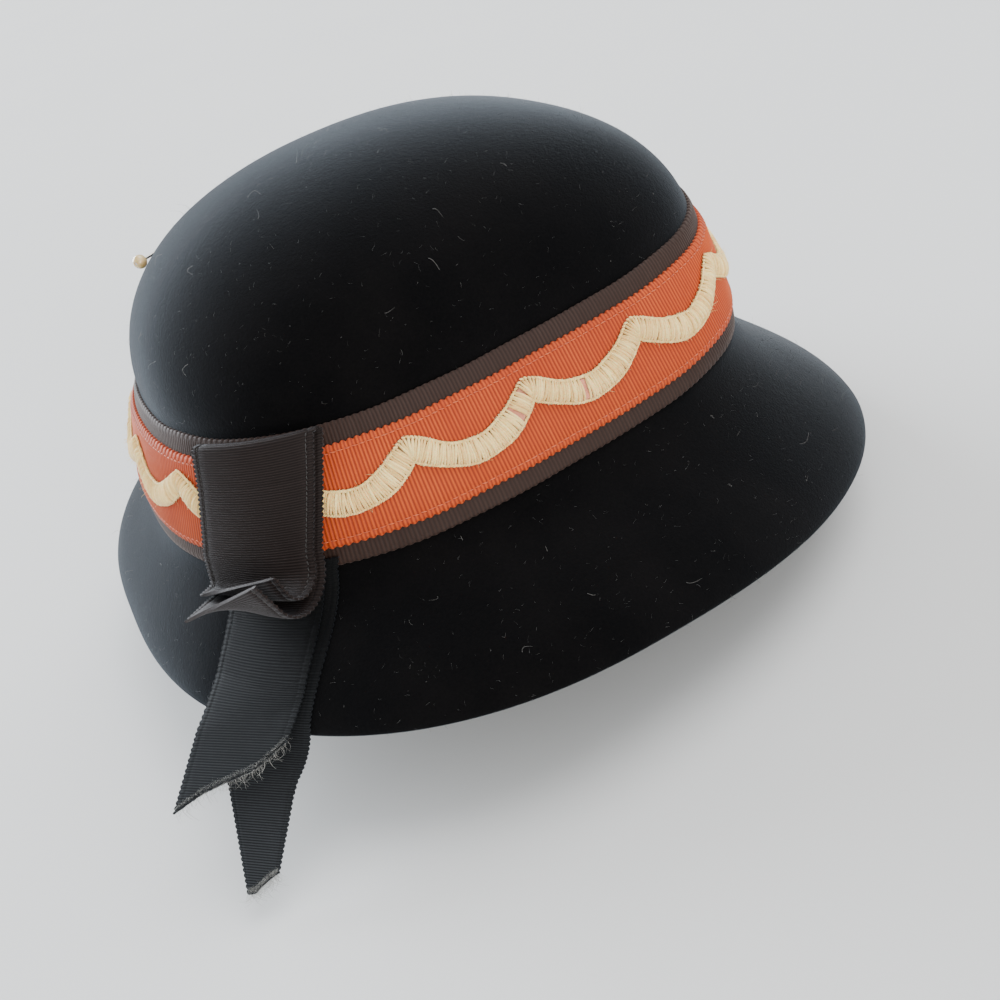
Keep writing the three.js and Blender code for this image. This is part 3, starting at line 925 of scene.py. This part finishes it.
# Relief of the weave, in metres.
grosgrain = {
    "Rib Height": 0.00024,
    "Loop Reach": 0.0007,
    "Selvedge": 0.0016,
    "Line Depth": 0.00022,
    "Line Width": 0.0003,
}
fineGrosgrain = {**grosgrain, "Rib Height": 0.00017, "Loop Reach": 0.0005}
tailGrosgrain = {**grosgrain, "Rib Height": 0.00010, "Loop Reach": 0.00035, "Line Depth": 0.00008}
flatGrosgrain = {**grosgrain, "Rib Height": 0.00013, "Loop Reach": 0.0003}
flatGrosgrain.update({"Selvedge": 0.0008, "Line Depth": 0.0})

# Bands, in millimetres: low and high up the wall, then how far their faces stand off the felt.
bands = {
    "brown": {
        "relief": flatGrosgrain,
        "low": 0.8,
        "high": 37.2,
        "under": 0.04,
        "middle": 1.3,
        "edge": 0.75,
        "pitch": 1.07,
    },
    "orange": {
        "relief": grosgrain,
        "low": 6.0,
        "high": 31.4,
        "under": 1.42,
        "middle": 2.8,
        "edge": 2.1,
        "pitch": 1.03,
    },
}


# A band of ribbon round the crown. Its selvedges are sewn down, so it is lower there.
def buildBand(name, band):
    length = angleAtShare(0)[1]
    ribCount = 2 * round(length / band["pitch"] / 2)
    count = ribCount * rowsPerRib
    rib = np.arange(count)[:, None] / rowsPerRib
    angle = angleAtShare(np.arange(count) / count)[0][:, None]
    place, inset = rowsAcross(band["high"] - band["low"], 3)
    wall = (band["low"] + place)[None] + 0.12 * np.sin(rib * 0.21) * np.sin(rib * 0.043 + 1)
    rise = np.clip(inset / 2.2, 0, 1) ** 0.7
    height = band["edge"] + (band["middle"] - band["edge"]) * rise
    height = height[None] + 0.05 * np.sin(rib * 0.37 + place[None] * 0.3) * rise[None]
    level = wall / hat["wall"]
    normal = feltNormal(angle, level)
    top = feltFace(angle, level) + normal * height[..., None]
    under = feltFace(angle, level) + normal * band["under"]
    across = unit(np.gradient(top, axis=1))
    relief = band["relief"]
    piece = ribbonPiece(name, top, under, normal, across, rib, inset, place, True, name, relief)
    return piece, (top, normal, across), rib


bandPieces, bandGrids = {}, {}
for name, band in bands.items():
    bandPieces[name], *bandGrids[name] = buildBand(name, band)
    print("stage:", name, "ribbon", len(bandPieces[name].data.polygons), "faces")


def stitchShape(length, radius, sag=0.0, steps=4, sides=6):
    t = np.linspace(-1, 1, steps + 1)
    line = np.stack([t * length / 2, 0 * t, -sag * t * t], -1)
    return line, radius * np.sqrt(np.clip(1.15 - t**2, 0.1, 1)), sides


stitchShapes = shapeSet("stitch", [stitchShape(1.75, 0.15, 0.2), stitchShape(1.6, 0.17, 0.22)])
fineStitchShapes = shapeSet("fineStitch", [stitchShape(1.1, 0.12, 0.15), stitchShape(1.0, 0.13, 0.16)])


# Running stitches along the line inside each selvedge, one to every second rib.
def lineStitches(name, grid, rib, look, seed, shapes, lift):
    top, normal, across = grid
    points, ahead, up = [], [], []
    along = unit(np.gradient(top, axis=0))
    every = np.nonzero(np.abs(np.mod(rib.ravel() + 1, 2)) < 1e-6)[0]
    for row in (4, -5):  # the rows that rowsAcross puts on the two lines
        points.append(top[every, row] + normal[every, row] * lift)
        ahead.append(along[every, row] + 0.1 * across[every, row])
        up.append(normal[every, row])
    found = (np.concatenate(rows) for rows in (points, ahead, up))
    piece = pointSet(name, *found, 1.0)
    return setShapes(piece, shapes, (0.05, 0.05, 0.08), 0.08, seed, look)


orangeStitches = lineStitches(
    "orangeLineStitches", *bandGrids["orange"], "orangeThread", 5, stitchShapes, 0.03
)

# Scallop trim: a flat braid in swags, of cross yarns between two twisted edge cords.
trim = {
    "swags": 16,
    "depth": 8.4,
    "middle": 0.54,
    "phase": 0.04,
    "halfWidth": 2.9,
    "under": 2.75,
    "cell": 1.3,
    "yarn": 0.41,
    "bulge": 1.45,
    "wander": 0.35,
    "pinch": 0.15,
    "wornSpots": ((3.6, 0.04), (4.05, 0.014), (4.17, 0.024)),  # place and reach, in swags
    "fuzz": (560000.0, (0.0011, 0.0026), (0.5, 1.35)),
}
trimParts = np.linspace(0, trim["swags"], 6401)


def trimWall(part):
    fromCusp = np.abs(2 * (part - np.floor(part)) - 1)
    wander = np.sin(part * 2.1 + 0.6) + 0.6 * np.sin(part * 5.3 + 2) + 0.4 * np.sin(part * 11.7)
    swag = trim["depth"] * (fromCusp**1.9 - 0.5)
    return trim["middle"] * hat["wall"] + swag + trim["wander"] * 0.5 * wander


def trimLine(part, height):
    wall = trimWall(part)
    angle = angleAtShare((part + trim["phase"]) / trim["swags"])[0]
    return overFelt(angle, wall / hat["wall"], height), feltNormal(angle, wall / hat["wall"])


def trimFrame(part):
    point, normal = trimLine(part, np.full_like(part, trim["under"]))
    ahead = sum(
        trimLine(part + step, 0 * part)[0] - trimLine(part - step, 0 * part)[0]
        for step in (0.02, 0.05, 0.08)
    )
    ahead = unit(ahead - normal * np.sum(ahead * normal, -1, keepdims=True))
    return point, normal, ahead, np.cross(normal, ahead)


# Half the width at each place: a little uneven, and narrower where the braid is turned at a cusp.
def trimHalf(part):
    toCusp = np.abs(part - np.round(part))
    uneven = 1 + 0.05 * np.sin(part * 7.7) + 0.04 * np.sin(part * 19.3 + 1)
    return trim["halfWidth"] * uneven * (1 - 0.16 * np.exp(-((toCusp / 0.05) ** 2)))


trimPath = trimLine(trimParts, 0 * trimParts + trim["under"])[0]
trimRun = np.concatenate([[0], np.cumsum(np.linalg.norm(np.diff(trimPath, axis=0), axis=1))])
cellCount = round(trimRun[-1] / trim["cell"])


def partAtCell(cell):
    return np.interp(np.mod(cell / cellCount, 1) * trimRun[-1], trimRun, trimParts)


def archShape(bulge, lean, radius, steps=7, sides=5):
    t = np.linspace(-1, 1, steps + 1)
    sideways = lean * t + 0.05 * np.sin(4 * t) - trim["pinch"] * np.abs(t) ** 3
    line = np.stack([t, sideways, bulge * (1 - np.abs(t) ** 2.6) + 0.25], -1)
    return line, radius * (0.74 + 0.3 * (1 - t**2)), sides


archKinds = ((0, 0.03), (0.12, -0.03), (-0.1, 0.0))
archShapes = shapeSet(
    "arch", [archShape(trim["bulge"] + more, lean, trim["yarn"]) for more, lean in archKinds]
)
plyShapes = shapeSet(
    "ply", [stitchShape(1.35, 0.33, 0.1, sides=5), stitchShape(1.2, 0.36, 0.12, sides=5)]
)


# Spots where the cross yarns are worn through and the pink core shows, as places along the trim.
def wornAt(part):
    worn = np.zeros_like(part)
    for spot, reach in trim["wornSpots"]:
        worn = np.maximum(worn, np.clip(1.5 - np.abs(part - spot) / max(reach, 1e-6), 0, 1))
    return worn


def buildTrim():
    rows = 10
    turn = np.linspace(0, 2 * math.pi, rows, endpoint=False)
    part = partAtCell(np.arange(cellCount * 2) / 2)
    point, normal, ahead, across = trimFrame(part)
    wide = across[:, None] * ((trimHalf(part) - 0.1)[:, None] * np.cos(turn)[None])[..., None]
    tall = normal[:, None] * (0.55 + 0.5 * np.sin(turn))[None, :, None]
    points = point[:, None] + wide + tall
    outer = np.tile((np.sin(turn) > -0.2).astype(float), len(part))
    worn = np.repeat(wornAt(part), rows)
    core = newPiece("trimCore", points, ringFaces(len(part), rows), {"outer": outer, "worn": worn})
    fixNormals(core)
    # The core's darker colour is painted shade in the slits between the cross yarns.
    core.data.materials.append(finish["creamCore"])

    pair = np.arange(cellCount * 2)
    place = pair // 2 + 0.5 + np.where(pair % 2 == 0, -0.225, 0.225)
    part = partAtCell(place)
    kept = wornAt(part) < 0.95
    part, side = part[kept], np.where(pair % 2 == 0, 1, -1)[kept]
    point, normal, ahead, across = trimFrame(part)
    size = np.stack([trimHalf(part), 0 * part + 1, 0 * part + 1], -1)
    yarns = pointSet("trimCrossYarns", point, across * -side[:, None], normal, size)
    setShapes(yarns, archShapes, (0.05, 0.03, 0.09), 0.05, 21, "cream")

    points, way, up = [], [], []
    for side in (-1, 1):
        for half in (0.25, 0.75):
            part = partAtCell(np.arange(cellCount) + half)
            point, normal, ahead, across = trimFrame(part)
            out = across * side * (trimHalf(part) + 0.22)[:, None]
            points.append(point + out + normal * 0.75)
            way.append(ahead * math.cos(0.55) + across * side * math.sin(0.55))
            up.append(normal)
    found = (np.concatenate(rows) for rows in (points, way, up))
    cords = pointSet("trimEdgeCords", *found, 1.0)
    setShapes(cords, plyShapes, (0.2, 0.12, 0.12), 0.1, 22, "cream")
    return core, yarns, cords


trimCore, trimYarns, trimCords = buildTrim()
trimFuzz = fibresOn(trimCore, "trimFuzz", fibreShapes, *trim["fuzz"], 31, "cream")
trimFaces = [len(piece.data.polygons) for piece in (trimYarns, trimCords, trimFuzz)]
print("stage: trim yarns, cords and fuzz", trimFaces)

# Side bow: one ribbon folded in two over the top of the band, its ends rolled outward, and two
# tails that come out from under it and lie on the brim.
bow = {
    "angle": 140.0,
    "lean": 4.0,
    "underShift": 2.0,
    "topEdge": 36.2,
    "curlStart": 7.0,
    "width": 34.0,
    "height": 6.25,
    "layer": 1.35,
    "thick": 0.72,
    "pitch": 0.67,
}
# The two rolled ends. Each pair is the value at the front selvedge and at the back one.
outerCurl = {
    "straight": (3.5, 7.1),
    "radius": (6.6, 1.75),
    "turn": (150, 83),
    "length": (26.2, 14.5),
    "slide": (2.2, -0.7),
}
innerCurl = {
    "straight": (3.4, 7.3),
    "radius": (10.6, 2.8),
    "turn": (143, 82),
    "length": (40.0, 26.6),
    "slide": (3.8, -0.9),
}
bowOut = mouthNormal(np.array(math.radians(bow["angle"])))
bowForward = np.cross(np.array([0, 0, 1.0]), bowOut)


def angleAcross(distance, level):
    middle = np.radians(bow["angle"] - bow["lean"] * (np.clip(level, 0, 1) - 0.5))
    step = 0.01
    height = bow["height"] + 0 * middle
    run = overFelt(middle + step, level, height) - overFelt(middle - step, level, height)
    speed = np.linalg.norm(run, axis=-1) / (2 * step)
    return middle - distance / speed


def onWall(across, wall, height):
    level = wall / hat["wall"]
    return overFelt(angleAcross(across, level), level, height)


# Straight, then round, then straight again, in the plane of bowOut and up.
def curlLine(back, table, height, past, under):
    across = (0.5 - back) * bow["width"] + under
    pick = {key: mix(pair[0], pair[1], back) for key, pair in table.items()}
    wall = np.full_like(across, bow["curlStart"])
    angle = angleAcross(across, wall / hat["wall"])
    here = overFelt(angle, wall / hat["wall"], height)
    way = overFelt(angle, (wall - 0.4) / hat["wall"], height) - here
    heading = np.arctan2(way[..., 2], way @ bowOut)
    distance = past * pick["length"]
    turn = np.radians(pick["turn"])
    first = np.minimum(distance, pick["straight"])
    bent = np.clip(distance - pick["straight"], 0, pick["radius"] * turn)
    after = np.maximum(distance - pick["straight"] - pick["radius"] * turn, 0)
    end = heading + bent / pick["radius"]
    out = first * np.cos(heading) + pick["radius"] * (np.sin(end) - np.sin(heading)) + after * np.cos(end)
    rise = first * np.sin(heading) - pick["radius"] * (np.cos(end) - np.cos(heading)) + after * np.sin(end)
    backward = pick["slide"] * past**1.5
    here = here + bowOut * out[..., None] + np.array([0, 0, 1.0]) * rise[..., None]
    return here - bowForward * backward[..., None]


# The rolled ribbon, with its cut end kept straight from front to back.
def curlPoint(across, back, table, height, past):
    under = across - (0.5 - back) * bow["width"]
    none, whole = np.zeros_like(past), np.ones_like(past)
    ends = [curlLine(edge, table, height, whole, under) for edge in (none, whole, back)]
    straightEnd = mix(ends[0], ends[1], back[..., None])
    here = curlLine(back, table, height, past, under)
    return here + (straightEnd - ends[2]) * (past**3)[..., None]


def bowMiddle(distance, side):
    distance, side = np.broadcast_arrays(distance, side)
    back = (1 - side) / 2
    wallRun = bow["topEdge"] - bow["curlStart"]
    across = side * bow["width"] / 2 + np.clip(2 - distance, 0, 1) * bow["underShift"]

    def foldRadius(wall):
        return bow["layer"] / 2 + 0.35 * np.clip((wall - 26) / 8, 0, 1)

    low, turn = bow["height"] + 0 * distance, (np.clip(distance, 1, 2) - 1) * math.pi
    radius = foldRadius(bow["topEdge"])
    wallDown = bow["topEdge"] - (np.clip(distance, 2, 3) - 2) * wallRun
    inner = curlPoint(across, back, innerCurl, low, np.clip(-distance, 0, 1))
    rising = onWall(across, bow["curlStart"] + np.clip(distance, 0, 1) * wallRun, low)
    folding = onWall(across, bow["topEdge"] + radius * np.sin(turn), low + radius * (1 - np.cos(turn)))
    falling = onWall(across, wallDown, low + 2 * foldRadius(wallDown))
    outer = curlPoint(across, back, outerCurl, low + bow["layer"], np.clip(distance - 3, 0, 1))
    found = inner
    for start, points in ((0, rising), (1, folding), (2, falling), (3, outer)):
        found = np.where((distance >= start)[..., None], points, found)
    return found


# Draws a free ribbon from its middle surface, with ribs evenly spaced along it.
def freeRibbon(name, middle, stations, place, inset, width, look, relief):
    side = place / width * 2 - 1
    grid = middle(stations[:, None], side[None])
    small = 1e-3
    turned = middle(stations[:, None], np.clip(side + small, -1, 1)[None]) - middle(
        stations[:, None], np.clip(side - small, -1, 1)[None]
    )
    ahead = np.gradient(grid, axis=0)
    normal = unit(np.cross(ahead, turned))
    across = unit(turned)
    thick = bow["thick"] * (0.72 + 0.28 * np.clip(inset / 1.2, 0, 1))[None, :, None] / 2
    rib = np.arange(len(stations))[:, None] / rowsPerRib
    top, under = grid + normal * thick, grid - normal * thick
    piece = ribbonPiece(name, top, under, normal, across, rib, inset, place, False, look, relief)
    return piece, (top, normal, across), rib


# Values of a running measure at which a line has gone each equal step.
def evenStations(line, values, pitch):
    run = np.concatenate([[0], np.cumsum(np.linalg.norm(np.diff(line, axis=0), axis=1))])
    count = round(run[-1] / pitch) * rowsPerRib
    return np.interp(np.linspace(0, run[-1], count + 1), run, values), run[-1]


coarse = np.linspace(-1, 4, 1200)
stations, bowLength = evenStations(bowMiddle(coarse, 0 * coarse), coarse, bow["pitch"])
bowPiece, bowGrid, bowRib = freeRibbon(
    "bowRibbon", bowMiddle, stations, *rowsAcross(bow["width"], 12), bow["width"], "black", fineGrosgrain
)
bowStitches = lineStitches(
    "bowLineStitches", bowGrid, bowRib, "blackThread", 41, fineStitchShapes, 0.0
)
print("stage: bow", round(bowLength, 1), "mm long", len(bowPiece.data.polygons))

# Tails: back and front hold the free part's two edges, and ends its length from back to front.
tails = {
    "upper": {
        "top": 3.6,
        "topHeight": 4.2,
        "brimHeight": 3.15,
        "leave": -0.7,
        "heading": -28.0,
        "shift": (3.5, 2.1),
        "back": (-12.6, -13.9, -15.3),
        "front": (16.8, 15.8, 14.0),
        "ends": (34.5, 29.3, 25.8, 22.6, 15.5),
        "seed": 51,
    },
    "lower": {
        "top": 3.2,
        "topHeight": 2.4,
        "brimHeight": 1.3,
        "leave": -0.93,
        "heading": -46.0,
        "shift": (7.5, 3.5),
        "back": (-11.5, -6.0, -0.8),
        "front": (18.5, 12.3, 8.1),
        "ends": (44.6, 44.2, 42.0, 40.2, 38.7),
        "seed": 61,
    },
}
tailWidth = 30.0
rawEnd = {"threads": 170, "rows": 6}


def alongTable(table, share):
    return np.interp(share, np.linspace(0, 1, len(table)), table)


# The middle surface of a tail by its real distance down the ribbon, in millimetres, so that the
# ribs stay square to the ribbon where its end is cut at a slant.
def tailMiddle(tail, brimLength):
    heading = math.radians(tail["heading"])
    onward = bowOut * math.cos(heading) + np.array([0, 0, 1.0]) * math.sin(heading)

    def onBrim(side, share):
        level = mix(tail["top"] / hat["wall"], tail["leave"], share)
        eased = np.clip((tail["top"] / hat["wall"] - level) / 0.4, 0, 1)
        height = mix(tail["topHeight"], tail["brimHeight"], eased)
        across = side * tailWidth / 2 + mix(tail["shift"][0], tail["shift"][1], share)
        return overFelt(angleAcross(across, level), level, height)

    def middle(distance, side):
        distance, side = np.broadcast_arrays(distance, side)
        share = (side + 1) / 2
        end = alongTable(tail["ends"], share)
        past = np.clip(distance - brimLength, 0, end)
        run = past / end
        resting = onBrim(side, np.clip(distance / brimLength, 0, 1))
        level = np.full_like(side, tail["leave"])
        leaving = overFelt(angleAcross(0 * side, level), level, 0 * side + tail["brimHeight"])
        across = mix(alongTable(tail["back"], run), alongTable(tail["front"], run), share)
        curved = onBrim(side, np.ones_like(side)) - leaving
        flat = bowForward * across[..., None]
        free = leaving + mix(curved, flat, np.clip(run * 2.5, 0, 1)[..., None]) + onward * past[..., None]
        return np.where((distance > brimLength)[..., None], free, resting)

    return middle, onBrim, onward


def buildTail(name, tail):
    share = np.linspace(0, 1, 200)
    onBrim = tailMiddle(tail, 1.0)[1]
    brimLength = np.linalg.norm(np.diff(onBrim(0 * share, share), axis=0), axis=1).sum()
    middle, onBrim, onward = tailMiddle(tail, brimLength)
    longest = brimLength + max(tail["ends"])
    rowStep = bow["pitch"] / rowsPerRib
    piece = freeRibbon(
        f"{name}Tail",
        middle,
        np.arange(0, longest + rowStep, rowStep),
        *rowsAcross(tailWidth, 16),
        tailWidth,
        "tail",
        tailGrosgrain,
    )[0]
    thread = np.arange(rawEnd["threads"])
    cutSide = np.linspace(-1, 1, len(thread))
    cut = middle(0 * cutSide + longest + 1, cutSide)
    jitter = np.sin(thread * 12.9898)[:, None] * 0.35
    lift = unit(np.cross(np.gradient(cut, axis=0), onward))
    up = unit(lift + jitter * bowForward)
    fibre = 1.2 + 1.5 * np.abs(np.sin(thread * 4.7)) ** 2
    roots, ways, outs, sizes = [cut - onward * 0.5], [onward + 0 * cut], [up], [fibre]
    for row in range(rawEnd["rows"]):
        slant = np.sin(thread * 7.31 + row * 2.4)[:, None] * 1.3
        face = lift * (0.4 if row % 2 else -0.4)
        near = np.abs(np.sin(thread * 3.7 + row))[:, None] * 0.4
        roots.append(cut - onward * (0.75 + 0.16 * row + near) + face)
        ways.append(onward * np.cos(slant) + bowForward * np.sin(slant))
        outs.append(up)
        sizes.append(0.62 + 0.3 * np.abs(np.sin(thread * 5.3 + row)))
    roots, outs, ways, sizes = (np.concatenate(found) for found in (roots, outs, ways, sizes))
    fray = pointSet(f"{name}Fray", roots, outs, ways, (sizes * mm)[:, None])
    setShapes(fray, curlyShapes, (0.5, 0.5, 0.9), 0.3, tail["seed"], "frayedThread")
    return piece, fray, longest


tailPieces = {name: buildTail(name, tail) for name, tail in tails.items()}
print("stage: tails", [round(made[2], 1) for made in tailPieces.values()])

# Pearl-headed pin.
pin = {
    "in": (206, 1.455),  # angle and level on the felt
    "out": (245, 1.4),
    "standOff": 7.5,
    "pointOut": 6.0,
    "bead": 4.2,
    "wire": 0.9,
    "play": 0.05,
}
pinIn = overFelt(np.radians(pin["in"][0]), np.array(pin["in"][1]), np.array(0.0))
pinOut = overFelt(np.radians(pin["out"][0]), np.array(pin["out"][1]), np.array(0.0))
pinWay = unit(pinOut - pinIn)


# Turns a profile of (out, along) pairs round the pin's line.
def turned(name, start, profile, sides, look):
    side = unit(np.cross(pinWay, np.array([0, 0, 1.0])))
    up = np.cross(side, pinWay)
    turn = np.arange(sides) * 2 * math.pi / sides
    ring = np.cos(turn)[:, None] * side + np.sin(turn)[:, None] * up
    out, along = np.array(profile, float).T
    points = start + ring[None] * out[:, None, None] + pinWay * along[:, None, None]
    piece = newPiece(name, points, ringFaces(len(profile), sides))
    fixNormals(piece)
    piece.data.materials.append(finish[look])
    return piece


radius, bore = pin["bead"] / 2, pin["wire"] / 2 + pin["play"]
openTurn = math.asin(bore / radius)
beadProfile = [
    (radius * math.sin(t), -radius * math.cos(t)) for t in np.linspace(openTurn, math.pi - openTurn, 25)
]
beadPiece = turned("pearlBead", pinIn - pinWay * pin["standOff"], beadProfile, 40, "bead")
wire = pin["wire"] / 2
wireLength = np.linalg.norm(pinOut - pinIn) + pin["standOff"] + pin["pointOut"]
wireProfile = [(0, -radius + 0.15), (wire * 0.8, -radius + 0.2), (wire, -radius + 0.45)]
wireProfile += [(wire, wireLength - 4), (wire * 0.85, wireLength - 2.6), (wire * 0.5, wireLength - 1)]
wireProfile += [(0.06, wireLength - 0.1), (0, wireLength)]
wirePiece = turned("pinWire", pinIn - pinWay * pin["standOff"], wireProfile, 20, "steel")
wirePiece.data.set_sharp_from_angle(angle=math.radians(50))
print("stage: pin")

# Each piece, the finish slot it is listed under (a name that nothing reads) and the parts it stands for;
# each rides on the root body.
stands = [
    (hoodPiece, "felt", ["felt_hood"]),
    (napPiece, "felt", []),
    (lintPiece, "felt", []),
    (bandPieces["brown"], "brown_ribbon", ["band_ribbon"]),
    (bandPieces["orange"], "orange_ribbon", ["orange_ribbon"]),
    (orangeStitches, "orange_ribbon", []),
    (trimCore, "cream_yarn", ["scallop_trim"]),
    (trimYarns, "cream_yarn", []),
    (trimCords, "cream_yarn", []),
    (trimFuzz, "cream_yarn", []),
    (bowPiece, "black_ribbon", ["bow_fold"]),
    (bowStitches, "black_ribbon", []),
    (tailPieces["upper"][0], "black_ribbon", ["bow_tail_upper"]),
    (tailPieces["upper"][1], "black_ribbon", []),
    (tailPieces["lower"][0], "black_ribbon", ["bow_tail_lower"]),
    (tailPieces["lower"][1], "black_ribbon", []),
    (beadPiece, "pearl", ["pin_pearl"]),
    (wirePiece, "pin_steel", ["pin_shank"]),
]
for piece, slotName, nodes in stands:
    dropWorkValues(piece.data)
    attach(piece, "root")
    if nodes:
        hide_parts(*nodes)
for kept in (fibreShapes, curlyShapes, stitchShapes, fineStitchShapes, archShapes, plyShapes):
    for shape in list(kept.objects):
        bpy.data.objects.remove(shape)
    bpy.data.collections.remove(kept)

bandLength = angleAtShare(0)[1] * mm

# Floor, light and camera.
stage = {
    "floorGap": 0.004,
    "floorSize": 120.0,
    "world": (0.83, 0.85, 0.86, 1),
    "worldStrength": 1.25,
    "lowestLight": 0.16,
}
half = stage["floorSize"] / 2 / mm
floorHeight = (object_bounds()[0][2] - stage["floorGap"]) / mm
corners = ((-half, -half), (half, -half), (half, half), (-half, half))
floor = newPiece("paleFloor", [(x, y, floorHeight) for x, y in corners], [(0, 1, 2, 3)], smooth=False)
floor.data.materials.append(finish["floor"])

world = bpy.data.worlds.new("softRoom")
world.use_nodes = True
background = world.node_tree.nodes["Background"]
background.inputs["Color"].default_value = stage["world"]
background.inputs["Strength"].default_value = stage["worldStrength"]
bpy.context.scene.world = world

# The camera of the photograph, in degrees, millimetres and the picture's own pixels.
view = {
    "frame": 1000,
    "azimuth": 251.89,
    "elevation": 34.32,
    "roll": -19.58,
    "distance": 342.38,
    "lens": 36.605,
    "focal": 1016.81,
    "aim": (436.88, 369.14),
    "shift": (0.0, -7.8, 0.0),
}
azimuth, elevation, roll = (math.radians(view[key]) for key in ("azimuth", "elevation", "roll"))
level = math.cos(elevation)
back = Vector((math.sin(azimuth) * level, -math.cos(azimuth) * level, math.sin(elevation)))
right = Vector((0, 0, 1)).cross(back).normalized()
upward = back.cross(right)
right, upward = (
    right * math.cos(roll) + upward * math.sin(roll),
    upward * math.cos(roll) - right * math.sin(roll),
)
aside = (view["aim"][0] - view["frame"] / 2) / view["focal"] * view["distance"]
above = -(view["aim"][1] - view["frame"] / 2) / view["focal"] * view["distance"]
eye = back * view["distance"] - right * aside - upward * above + Vector(view["shift"])
cameraData = bpy.data.cameras.new("photoCamera")
cameraData.lens = view["lens"]
cameraData.sensor_width = 36.0
cameraData.clip_start = 0.01
cameraData.clip_end = 200.0
camera = bpy.data.objects.new("photoCamera", cameraData)
camera.matrix_world = Matrix.Translation(eye * mm) @ Matrix((right, upward, back)).transposed().to_4x4()
bpy.context.scene.collection.objects.link(camera)
bpy.context.scene.camera = camera

# Each light comes from so far right of the camera, above it and behind it.
lights = {
    "window": {"way": (-0.75, 0.35, -0.35), "spread": 44.0, "power": 6.5, "tone": (0.86, 0.93, 1.0)},
    "room": {"way": (0.65, -0.55, 0.75), "spread": 28.0, "power": 3.0, "tone": (1.0, 0.95, 0.88)},
    "ceiling": {"way": (0.1, 0.9, 0.35), "spread": 44.0, "power": 2.2, "tone": (1.0, 1.0, 1.0)},
}
for name, light in lights.items():
    way = (right * light["way"][0] + upward * light["way"][1] + back * light["way"][2]).normalized()
    way.z = max(way.z, stage["lowestLight"])
    data = bpy.data.lights.new(name, "SUN")
    data.angle = math.radians(light["spread"])
    data.energy = light["power"]
    data.color = light["tone"]
    lamp = bpy.data.objects.new(name, data)
    lamp.location = way.normalized() * 2
    lamp.rotation_euler = way.to_track_quat("Z", "Y").to_euler()
    bpy.context.scene.collection.objects.link(lamp)
print("stage: light and camera")
